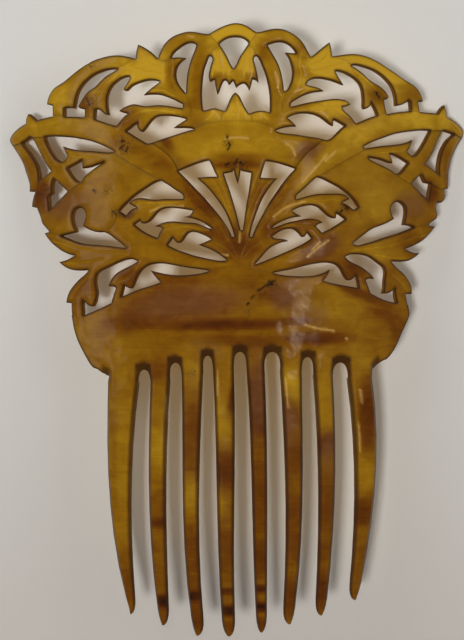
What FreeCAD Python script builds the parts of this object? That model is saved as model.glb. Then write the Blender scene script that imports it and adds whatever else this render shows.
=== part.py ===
import FreeCAD, Part
import math
import os
from BOPTools import SplitAPI

# Back comb for the hair, sawn from one flat sheet and bent round the head.
# Outlines are laid out flat: s runs along the bend, z runs up, both in millimetres.
# The finished comb stands upright: +Z crown up, -Y the convex front, +X its right in front view.
# The origin is the top of the middle slot between the teeth, at mid thickness.

SHEET = 3.0              # thickness of the sheet
BEND = 114.0             # radius of the bend at mid thickness, vertical axis
TIP_THICKNESS = 1.5      # teeth are dressed thinner towards their tips
TIP_LENGTH = 5.0         # rounded end of each tooth
TOOTH_BEVEL = 0.9        # full bevel along the edges of each tooth
CORNER = 1               # third value marking a sharp corner in an outline
REACH = 1.0              # a dividing line ends on an outline corner this near to its end

os.makedirs("parts", exist_ok=True)


# ---------------------------------------------------------------- flat outlines

def mirrored(points):
    """The same outline on the other side of the middle line."""
    return [(-p[0],) + tuple(p[1:]) for p in points]


def flat(point):
    return FreeCAD.Vector(point[0], 0, point[1])


def curve_through(points):
    """A straight line through two points, a smooth curve through more."""
    if len(points) == 2:
        return Part.LineSegment(flat(points[0]), flat(points[1])).toShape()
    curve = Part.BSplineCurve()
    curve.interpolate([flat(p) for p in points])
    return curve.toShape()


def stretches(points):
    """Cut a closed outline into its stretches from one sharp corner to the next."""
    first = [i for i, p in enumerate(points) if len(p) > 2][0]
    ring = points[first:] + points[:first + 1]
    runs = []
    run = [ring[0]]
    for p in ring[1:]:
        run.append(p)
        if len(p) > 2:
            runs.append(run)
            run = [p]
    return runs


def closed_wire(points):
    return Part.Wire([curve_through(run) for run in stretches(points)])


# ---------------------------------------------------------------- teeth

# Height where each tooth leaves the band, its tip, and its two edges at four heights.
EDGE_HEIGHTS = (-10.0, -30.0, -50.0, -70.0)
TEETH = [
    {"root": -8.6, "tip": (-35.4, -79.3),
     "left": (-41.5, -42.1, -41.2, -37.9), "right": (-31.8, -34.0, -34.7, -34.1)},
    {"root": -8.0, "tip": (-25.0, -82.3),
     "left": (-27.7, -28.6, -28.7, -27.5), "right": (-21.8, -23.1, -23.5, -23.3)},
    {"root": -6.4, "tip": (-14.5, -85.2),
     "left": (-17.9, -18.1, -18.2, -17.3), "right": (-11.7, -12.8, -13.4, -13.1)},
    {"root": -4.4, "tip": (-4.8, -85.4),
     "left": (-8.2, -7.9, -7.8, -7.4), "right": (-2.0, -2.2, -2.7, -3.0)},
    {"root": -4.2, "tip": (4.9, -84.4),
     "left": (2.0, 2.6, 2.8, 3.1), "right": (7.3, 7.5, 7.3, 6.9)},
    {"root": -5.4, "tip": (13.7, -82.2),
     "left": (12.1, 12.8, 12.9, 12.2), "right": (18.4, 18.4, 17.9, 16.3)},
    {"root": -7.2, "tip": (23.3, -80.0),
     "left": (22.3, 23.1, 23.0, 22.1), "right": (28.2, 28.6, 27.9, 26.0)},
    {"root": -8.4, "tip": (34.3, -76.0),
     "left": (33.2, 34.7, 34.5, 32.8), "right": (41.1, 42.2, 40.5, 36.6)},
]


def smooth_value(heights, values, z):
    """Value of the smooth curve through the given values, read at height z."""
    total = 0.0
    for i, h in enumerate(heights):
        weight = 1.0
        for j, other in enumerate(heights):
            if j != i:
                weight *= (z - other) / (h - other)
        total += values[i] * weight
    return total


def tooth_edges(tooth, z):
    """Left and right edge of a tooth at height z, closing over its rounded tip."""
    tip_s, tip_z = tooth["tip"]
    left = smooth_value(EDGE_HEIGHTS, tooth["left"], z)
    right = smooth_value(EDGE_HEIGHTS, tooth["right"], z)
    above_tip = z - tip_z
    if above_tip < TIP_LENGTH:
        part = max(above_tip, 0.0) / TIP_LENGTH
        closing = math.sqrt(1.0 - (1.0 - part) ** 2)
        left = tip_s + (left - tip_s) * closing
        right = tip_s + (right - tip_s) * closing
    return left, right


def bent(s, radius, z):
    """Point of the bent sheet at a given distance from the bend axis."""
    turn = s / BEND
    return FreeCAD.Vector(radius * math.sin(turn), BEND - radius * math.cos(turn), z)


def tooth_section(tooth, z):
    """Bevelled section of a tooth at height z."""
    left, right = tooth_edges(tooth, z)
    root = tooth["root"]
    down = (root - z) / (root - tooth["tip"][1])
    half = 0.5 * (SHEET + (TIP_THICKNESS - SHEET) * down)
    side = min(TOOTH_BEVEL * min(1.0, 0.25 + (root - z) / 12.0), 0.3 * (right - left))
    depth = min(side, 0.6 * half)
    if z - tooth["tip"][1] < TIP_LENGTH:
        part = max(z - tooth["tip"][1], 0.0) / TIP_LENGTH
        shrink = 0.35 + 0.65 * math.sqrt(1.0 - (1.0 - part) ** 2)
        half *= shrink
        depth *= shrink
    corners = [
        (left, half - depth), (left + side, half), (right - side, half), (right, half - depth),
        (right, depth - half), (right - side, -half), (left + side, -half), (left, depth - half),
    ]
    points = [bent(s, BEND + offset, z) for s, offset in corners]
    return Part.makePolygon(points + points[:1])


def tooth_solid(tooth):
    root = tooth["root"]
    tip = tooth["tip"][1]
    shaft = tip + TIP_LENGTH
    heights = [root - (root - shaft) * i / 7.0 for i in range(8)]
    heights += [tip + TIP_LENGTH * part for part in (0.62, 0.32, 0.12, 0.02)]
    return Part.makeLoft([tooth_section(tooth, z) for z in heights], True, True)


# ---------------------------------------------------------------- outer outline

# Both sides were sawn by hand, so each has its own outline, written from the middle outwards.
# The right side is written as its mirror image.
LEFT_EDGE = [
    (-2, 98.8), (-4, 98.1), (-6, 97.1), (-8, 96.0, CORNER),
    (-11, 96.5), (-14, 96.95), (-16.5, 96.5), (-18.5, 95.8), (-20.5, 94.5), (-22, 92.7),
    (-22.9, 90.9), (-23.6, 89.3, CORNER), (-25, 90.8), (-27, 92.4), (-29.6, 93.9, CORNER),
    (-30.1, 92.3), (-30.4, 89.6, CORNER), (-32, 90.1), (-35, 90.9), (-38, 91.1), (-41, 90.8),
    (-44.5, 90.0), (-48, 88.5), (-51, 86.9), (-54, 85.0), (-56, 84.0), (-58.3, 83.0),
    (-60.2, 81.2), (-61.1, 79.5), (-61.4, 78.0, CORNER), (-59.3, 77.4, CORNER),
    (-59.2, 74.1, CORNER), (-62, 73.9), (-65.6, 73.4, CORNER), (-67.3, 74.8),
    (-69.0, 75.8, CORNER), (-69.7, 74.8), (-70.2, 72.8, CORNER), (-73, 71.8), (-75.5, 70.4),
    (-76.8, 69.3), (-77.3, 68.2), (-76.9, 67.2), (-76.1, 66.3), (-74.5, 64.4), (-72.5, 61.8),
    (-71.2, 59.5), (-70.2, 57), (-69.3, 54.8), (-69.1, 51.3, CORNER), (-66.6, 51.1, CORNER),
    (-67.4, 49.6), (-67.9, 48), (-68.1, 46.5, CORNER), (-66.1, 46.0, CORNER), (-65.3, 44.4),
    (-64.6, 42.8), (-64.0, 41.1), (-63, 40.0), (-61.4, 38.3, CORNER), (-63.2, 37.9, CORNER),
    (-62, 36.4), (-60.8, 35.1), (-59, 33.7), (-57, 32.4), (-55.2, 31.5), (-51.9, 30.6, CORNER),
    (-54, 29.6), (-57.8, 28.8, CORNER), (-56.5, 27.8), (-55, 26.9), (-53, 26.2), (-50.5, 25.9),
    (-47.1, 26.0, CORNER), (-48.5, 24.6), (-50.5, 23.2), (-52.3, 21.6), (-53.9, 19.8),
    (-54.9, 17.8), (-55.3, 16.1, CORNER), (-53.4, 15.9, CORNER), (-53.4, 14), (-53.2, 12),
    (-52.8, 9.5), (-52.2, 7), (-51.3, 4.6), (-50, 2), (-48.3, -0.9), (-46.8, -3.1),
    (-45.8, -4.1, CORNER), (-44, -4.8), (-42.5, -5.9), (-41.0, -6.6, CORNER),
]
RIGHT_EDGE = [
    (-2, 98.8), (-3.8, 98.0), (-5.2, 97.0), (-6.4, 96.3, CORNER),
    (-8.5, 96.7), (-10.5, 97.2), (-12.5, 97.4), (-14.5, 97.1), (-16.5, 96.3), (-18.5, 95.0),
    (-20.2, 93.3), (-21.4, 91.2), (-22.6, 89.0, CORNER), (-24.2, 90.2), (-26, 91.7),
    (-28.5, 93.6, CORNER), (-29, 91.5), (-29.2, 89.4, CORNER), (-32, 89.8), (-34.5, 90.2),
    (-37, 90.3), (-39.5, 90.0), (-42, 89.3), (-45, 88.0), (-48, 86.4), (-51, 84.8),
    (-53.5, 83.4), (-56, 82.3), (-58, 81.1), (-59.4, 79.5), (-60.3, 77.0, CORNER),
    (-58.5, 76.9, CORNER), (-59.0, 73.7, CORNER), (-62, 73.7), (-66.2, 73.6, CORNER),
    (-67.5, 75.2), (-69.0, 76.4, CORNER), (-69.6, 75), (-70.1, 72.8, CORNER), (-72.6, 72.0),
    (-74.8, 70.9), (-76.5, 69.7), (-77.2, 68.6), (-77.0, 67.5), (-76.4, 66.5), (-75, 64.8),
    (-73.5, 62.9), (-72, 60.4), (-71, 58), (-70.3, 55.5), (-70.0, 53), (-69.9, 50.2, CORNER),
    (-68.3, 50.0, CORNER), (-68.6, 48.7), (-68.5, 47.2), (-67.7, 46.1), (-65.4, 45.9, CORNER),
    (-65.0, 44.7), (-64.9, 43.5), (-65.3, 42.2), (-65.2, 41.1), (-64.2, 40.2),
    (-61.9, 38.4, CORNER), (-64.4, 38.2, CORNER), (-63.2, 36.9), (-61.8, 35.6), (-60.2, 34.3),
    (-58.3, 33.1), (-56.5, 32.3), (-52.9, 31.1, CORNER), (-55.5, 30.0), (-58.1, 29.8, CORNER),
    (-56.8, 28.8), (-55.2, 27.9), (-53.5, 27.3), (-51.5, 27.1), (-47.8, 27.2, CORNER),
    (-48.6, 26.3), (-50, 25), (-52, 23.5), (-53.5, 21.8), (-54.7, 19.8), (-54.9, 17.1, CORNER),
    (-52.7, 17.2, CORNER), (-53, 15.5), (-53.5, 13), (-53.8, 11.0), (-53.2, 9.2), (-52, 7),
    (-50.7, 4.7), (-49.5, 2.2), (-48, -0.1), (-46.5, -1.9), (-45.3, -2.9, CORNER),
    (-43.8, -3.4), (-42.3, -4.6), (-41.0, -5.8, CORNER),
]
GULLET_TOPS = (-4.7, -2.7, -0.7, 0.3, 0.1, -1.6, -3.5)


def gullet(left_tooth, right_tooth, top):
    """Rounded slot top between two teeth, from the left tooth's root to the right one's."""
    near = tooth_edges(left_tooth, left_tooth["root"])[1]
    far = tooth_edges(right_tooth, right_tooth["root"])[0]
    shoulder = 0.16 * (far - near)
    return [
        (near, left_tooth["root"], CORNER), (near + 0.3 * shoulder, top - 2.0),
        (near + 1.6 * shoulder, top - 0.4), (0.5 * (near + far), top),
        (far - 1.6 * shoulder, top - 0.4), (far - 0.3 * shoulder, top - 2.0),
        (far, right_tooth["root"], CORNER),
    ]


def sheet_outline():
    """Outer outline of everything above the teeth, anticlockwise from the top."""
    points = [(0, 99.1)] + LEFT_EDGE
    first, last = TEETH[0], TEETH[-1]
    points.append((tooth_edges(first, first["root"])[0], first["root"], CORNER))
    for left_tooth, right_tooth, top in zip(TEETH, TEETH[1:], GULLET_TOPS):
        points += gullet(left_tooth, right_tooth, top)
    points.append((tooth_edges(last, last["root"])[1], last["root"], CORNER))
    return points + mirrored(RIGHT_EDGE)[::-1]


# ---------------------------------------------------------------- pierced openings

MIDDLE_HOLES = [
    # between the crown arch and the two hanging leaves
    [(-4.9, 92.9, CORNER), (-3.8, 91.2), (-2.6, 89.0), (-1.6, 86.8), (-0.8, 85.4, CORNER),
     (0, 86.6), (1.0, 88.7), (2.5, 91.0), (3.9, 93.1, CORNER), (3, 94.1), (1.6, 94.8), (0, 95.0),
     (-2, 94.8), (-3.6, 94.1)],
    # round the hanging leaves and over the base leaves
    [(-7.7, 89.5), (-8.6, 88), (-9.4, 86), (-9.9, 83.5), (-10.3, 80), (-10.4, 77),
     (-10.0, 73.1, CORNER), (-8.6, 73.3), (-6.8, 73.7), (-5.2, 73.3), (-3.6, 72.8, CORNER),
     (-2.7, 74.5), (-1.7, 76.8), (-0.4, 78.3, CORNER), (0.6, 77.5), (1.5, 75.8), (2.4, 73.8),
     (3.7, 71.9, CORNER), (5.2, 72.4), (6.9, 72.75), (8.4, 72.6), (9.9, 72.1, CORNER),
     (10.0, 75), (9.9, 78), (9.4, 81.2), (8.6, 84.2), (7.6, 86.8), (6.7, 88.7), (6.0, 89.3),
     (5.4, 88.6), (5.5, 87.2), (6.1, 84.6), (6.6, 81.2, CORNER), (5.9, 82.0),
     (4.9, 82.3, CORNER), (4.5, 80.8), (3.9, 78.7, CORNER), (3.2, 80.2), (2.4, 81.0),
     (1.3, 80.8), (0, 79.7, CORNER), (-0.5, 80.8), (-1.0, 82.0, CORNER), (-1.5, 81.3),
     (-2.3, 80.6, CORNER), (-2.7, 81.6), (-3.4, 82.1), (-4.1, 81.3), (-4.9, 79.3),
     (-5.7, 77.8, CORNER), (-6.1, 79.5), (-6.4, 82.4, CORNER), (-7.0, 82.1),
     (-7.9, 81.7, CORNER), (-8.2, 83.2), (-7.9, 85.2), (-7.3, 87.2), (-7.0, 88.5)],
    # middle notch of the fan
    [(-4.2, 54.0, CORNER), (-1.6, 54.5, CORNER), (-1.2, 55.1, CORNER), (-0.7, 52.8),
     (-0.05, 50.8, CORNER), (0.5, 52.8), (0.9, 55.1, CORNER), (1.4, 54.7, CORNER),
     (4.1, 54.1, CORNER), (3.6, 51), (3.2, 48.5), (2.6, 45.5), (2.1, 42.5), (1.7, 40),
     (1.2, 36.9, CORNER), (0.6, 36.9, CORNER), (0.3, 38), (-0.2, 40.2), (-1.0, 43.5),
     (-1.7, 46.2), (-2.6, 49.3), (-3.5, 52.0)],
]

LEFT_HOLES = [
    # crown hoop crescent
    [(-19.5, 89.3, CORNER), (-18.5, 90.9), (-17, 92.1), (-15.4, 93.1), (-13.9, 93.6),
     (-12.7, 93.5), (-11.7, 92.8, CORNER), (-12.4, 91), (-13.3, 88.8), (-14.2, 86), (-14.8, 83),
     (-15.0, 80.5), (-15.1, 78.4, CORNER), (-16.3, 79.8), (-17.6, 81.8), (-18.1, 83.9),
     (-17.9, 85.8), (-16.9, 87.5), (-15.0, 89.0, CORNER), (-17, 89.3)],
    # between the two claws, running on between their legs
    [(-36.2, 86.9, CORNER), (-39, 87.0), (-41.5, 86.6), (-44, 85.8), (-46.5, 84.4),
     (-48.3, 82.9), (-49.8, 80.9), (-50.7, 78.6), (-51.3, 75.9, CORNER), (-52.4, 76.2),
     (-54.9, 76.3, CORNER), (-55.0, 73.7, CORNER), (-51.5, 73.4), (-47.6, 72.9, CORNER),
     (-47.6, 75.5, CORNER), (-49.0, 75.7), (-49.9, 76.4, CORNER), (-48.8, 78), (-47.6, 79.5),
     (-46.2, 80.8), (-44.5, 81.7), (-42.5, 83.2), (-40.5, 84.8), (-38.5, 85.8)],
    # between the inner claw and the spray leaves
    [(-44.3, 72.2, CORNER), (-42, 71.3), (-39.5, 70.4), (-37, 69.6, CORNER), (-36, 70.7),
     (-34.9, 71.9), (-33.3, 73.1, CORNER), (-34.5, 73.4), (-36.1, 74.1, CORNER), (-34.8, 74.9),
     (-33, 75.6), (-31.3, 75.9), (-29.5, 75.5), (-27.5, 75.1), (-24.5, 75.2), (-21, 74.9),
     (-18.5, 74.4), (-16.1, 74.0, CORNER), (-16.2, 75.2, CORNER), (-18, 76.2), (-20.5, 77.4),
     (-23, 78.3), (-25.5, 78.6), (-28.1, 78.5, CORNER), (-26.8, 79.6), (-25, 80.9),
     (-23.0, 82.2, CORNER), (-24.4, 82.7), (-26.5, 82.9), (-28.5, 82.6), (-30.5, 82.0),
     (-32.2, 81.2), (-33.7, 80.1), (-34.3, 80.3), (-33.9, 81.6), (-32.9, 84.4, CORNER),
     (-34.8, 84.1), (-36.8, 83.1), (-38.5, 81.6), (-39.6, 79.6), (-40.0, 77.3),
     (-39.9, 75.2), (-39.5, 73.1, CORNER), (-40.8, 73.5), (-42.2, 74.6),
     (-43.9, 75.1, CORNER)],
    # under the lowest spray leaf
    [(-34.0, 67.9, CORNER), (-31.5, 66.3), (-28.6, 64.5), (-27.2, 63.8), (-25.6, 64.0),
     (-22.5, 64.9), (-19, 65.9), (-15.5, 66.9), (-12.8, 67.5, CORNER), (-14, 67.9),
     (-16, 68.1), (-19, 68.2, CORNER), (-17.4, 69.2), (-15.0, 70.6, CORNER), (-17, 71.3),
     (-19.5, 71.8), (-22, 72.0), (-24, 71.8), (-25.5, 70.9), (-26.8, 69.4), (-28, 68),
     (-29, 67.4), (-29.6, 67.8), (-30.1, 70.2, CORNER), (-31.6, 69.4), (-32.6, 68.7)],
    # between the shoulder strap and the shoulder leaf
    [(-62.7, 68.0, CORNER), (-60, 68.0), (-56, 67.6), (-52, 67.0), (-48, 66.1), (-44, 64.9),
     (-41, 63.6), (-37.8, 61.8, CORNER), (-40, 61.7), (-43, 62.1), (-47, 62.6), (-51, 63.2),
     (-55.7, 64.5, CORNER), (-55.0, 63.1), (-54.0, 61.3, CORNER), (-55.4, 59.8, CORNER),
     (-57.5, 60.3), (-59.3, 62), (-60.7, 64), (-61.9, 66.1)],
    # under the shoulder leaf
    [(-54.3, 57.7, CORNER), (-51.5, 58.7), (-48.8, 59.9, CORNER), (-48.7, 58.8),
     (-48.8, 57.4, CORNER), (-47.4, 57.4), (-45.5, 57.7), (-43.3, 58.3), (-40.8, 58.9, CORNER),
     (-42.8, 58.0), (-45.2, 56.7), (-47.5, 55.1), (-49.3, 53.2, CORNER), (-50.7, 53.6),
     (-52.6, 55.4)],
    # slot between the side bars
    [(-72.2, 66.9, CORNER), (-70, 67.6), (-68.6, 68.4, CORNER), (-67.7, 68.3, CORNER),
     (-66.9, 67.2), (-65.5, 65), (-63.8, 62), (-62, 59.3), (-60.2, 57.1, CORNER),
     (-62.5, 55.8), (-65.2, 54.3, CORNER), (-65.2, 57.2), (-66.2, 60), (-67.6, 62),
     (-69.3, 64), (-71.1, 65.8)],
    # angular hole outside the scroll
    [(-59.2, 54.8, CORNER), (-57.2, 53.1), (-54.2, 50.5, CORNER), (-56.5, 48.6),
     (-61.3, 45.0, CORNER), (-61.3, 47), (-61.6, 49.2, CORNER), (-59.9, 50.2, CORNER),
     (-60.0, 52.5)],
    # eye of the scroll and the slit below it
    [(-51.0, 37.9, CORNER), (-51.8, 39.4), (-52.4, 41.3), (-52.4, 43.2), (-51.6, 44.7),
     (-50.2, 45.3), (-48.8, 44.9), (-48.0, 43.7), (-47.9, 42.2), (-48.4, 40.8),
     (-48.9, 39.7, CORNER), (-47.4, 38.7), (-45.5, 37.9), (-43.5, 37.45), (-41.8, 37.4),
     (-40.4, 36.9), (-38.5, 35.6), (-36.5, 34.1), (-34.4, 32.4, CORNER), (-36.3, 32.6),
     (-39, 33.0), (-43, 33.5), (-47, 33.9), (-50, 34.4), (-52.5, 35.2), (-57.0, 36.9, CORNER),
     (-54.5, 37.3)],
    # between the two lower leaves
    [(-30.9, 28.1, CORNER), (-32.3, 28.8), (-35, 28.7), (-37.5, 27.9), (-40, 26.9),
     (-42.4, 25.9), (-44.1, 24.8), (-44.8, 22.8), (-44.6, 20.7), (-44.3, 19), (-44.6, 17),
     (-45.7, 14.8, CORNER), (-46.8, 14.9), (-48.0, 15.6), (-49.3, 16.8, CORNER),
     (-49.2, 12.0, CORNER), (-46.5, 12.9), (-43.5, 14.0), (-41, 15.0), (-39.6, 15.6, CORNER),
     (-39.0, 17.6), (-38.0, 20.3, CORNER), (-39.0, 20.7), (-40.5, 20.8, CORNER),
     (-39.6, 22.7), (-38.5, 24.1), (-37, 25.2), (-35.3, 26.0), (-33.2, 26.9)],
    # over the top edge of the band
    [(-35.4, 20.9, CORNER), (-34.2, 20.3), (-33.1, 20.0), (-32.1, 21.2), (-31.4, 22.8),
     (-30.7, 24.1), (-29.6, 25.5), (-28, 26.7), (-26, 27.3), (-24, 27.4), (-21.5, 27.1),
     (-18.5, 26.5), (-15, 25.8), (-12, 25.4), (-9.0, 24.8, CORNER), (-10.5, 24.3),
     (-13, 23.9), (-16, 23.7), (-19, 23.7), (-22, 24.1), (-26.7, 25.3, CORNER),
     (-25.8, 24.0), (-23.7, 21.7, CORNER), (-27, 20.6), (-30, 19.8), (-33, 18.7),
     (-36.4, 17.5, CORNER), (-35.8, 19.2)],
    # over the upper leaf of the inner spray
    [(-23.2, 52.4, CORNER), (-25.3, 51.8), (-27.5, 50.6), (-30, 49.1), (-32, 47.8),
     (-34, 46.1), (-35.5, 44.7), (-36.6, 43.6, CORNER), (-34.3, 42.1, CORNER),
     (-33.5, 43.2), (-32.4, 44.0), (-31.0, 44.5, CORNER), (-33.4, 45.8, CORNER),
     (-32, 46.9), (-30.5, 47.3), (-29, 47.3), (-27, 46.9), (-25, 46.7), (-22, 46.8),
     (-19, 46.7), (-16.4, 46.7, CORNER), (-16.6, 47.8), (-18.2, 49.0), (-20, 50.3),
     (-21.6, 51.4)],
    # between the two leaves of the inner spray
    [(-31.9, 39.4, CORNER), (-29.9, 40.7, CORNER), (-29.5, 39.7, CORNER), (-28.2, 39.7),
     (-27, 40.2), (-26, 41.1), (-25, 42.3), (-24, 43.2), (-22.5, 43.9), (-20.5, 44.1),
     (-18, 43.9), (-15.8, 43.5), (-13.7, 43.1, CORNER), (-14.0, 42.2), (-16.4, 41.3, CORNER),
     (-14.5, 40.9), (-12.5, 40.3), (-10.5, 39.3), (-8.0, 37.5, CORNER), (-9.6, 37.9),
     (-11.2, 38.7), (-13, 39.3), (-15.5, 39.5), (-18, 39.8), (-20, 40.0), (-22, 39.8),
     (-25.3, 38.6, CORNER), (-24.2, 38.5), (-23.0, 37.9, CORNER), (-23.7, 36.8),
     (-24.5, 35.1, CORNER), (-26.5, 35.9), (-28.5, 36.9), (-30.5, 38.3)],
    # under the lower leaf of the inner spray
    [(-21.5, 32.9, CORNER), (-20.7, 33.9), (-19.8, 35.2, CORNER), (-19.2, 34.1), (-18.1, 33.4),
     (-17.2, 33.7), (-16.4, 34.7), (-15.6, 35.8), (-14.7, 36.5), (-13.6, 36.7), (-12, 36.3),
     (-10, 35.4), (-8.2, 34.3, CORNER), (-9.6, 33.7), (-12.1, 32.7, CORNER), (-10, 31.9),
     (-8, 31.0), (-6, 29.8), (-3.6, 27.8, CORNER), (-5.5, 27.8), (-8, 28.2), (-11, 28.9),
     (-14, 29.7), (-17, 30.8), (-19.5, 31.8)],
    # side notch of the fan
    [(-18.0, 55.1, CORNER), (-15.3, 56.1), (-12.2, 57.2), (-8.6, 58.1, CORNER),
     (-7.9, 56.9), (-7.1, 55.0), (-6.1, 53.1, CORNER), (-8.8, 53.1), (-12.2, 52.9, CORNER),
     (-11, 51.7), (-9.6, 50.4), (-8.3, 48.9), (-7, 47.2), (-5.5, 45.1), (-4.2, 43),
     (-3.1, 40.6), (-2.2, 38.2), (-1.3, 34.9, CORNER), (-2.0, 34.9, CORNER), (-2.8, 36.8),
     (-4.2, 39.3), (-6, 41.8), (-8, 44.3), (-10, 46.7), (-12.5, 49.4), (-15, 52.1)],
]

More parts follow.
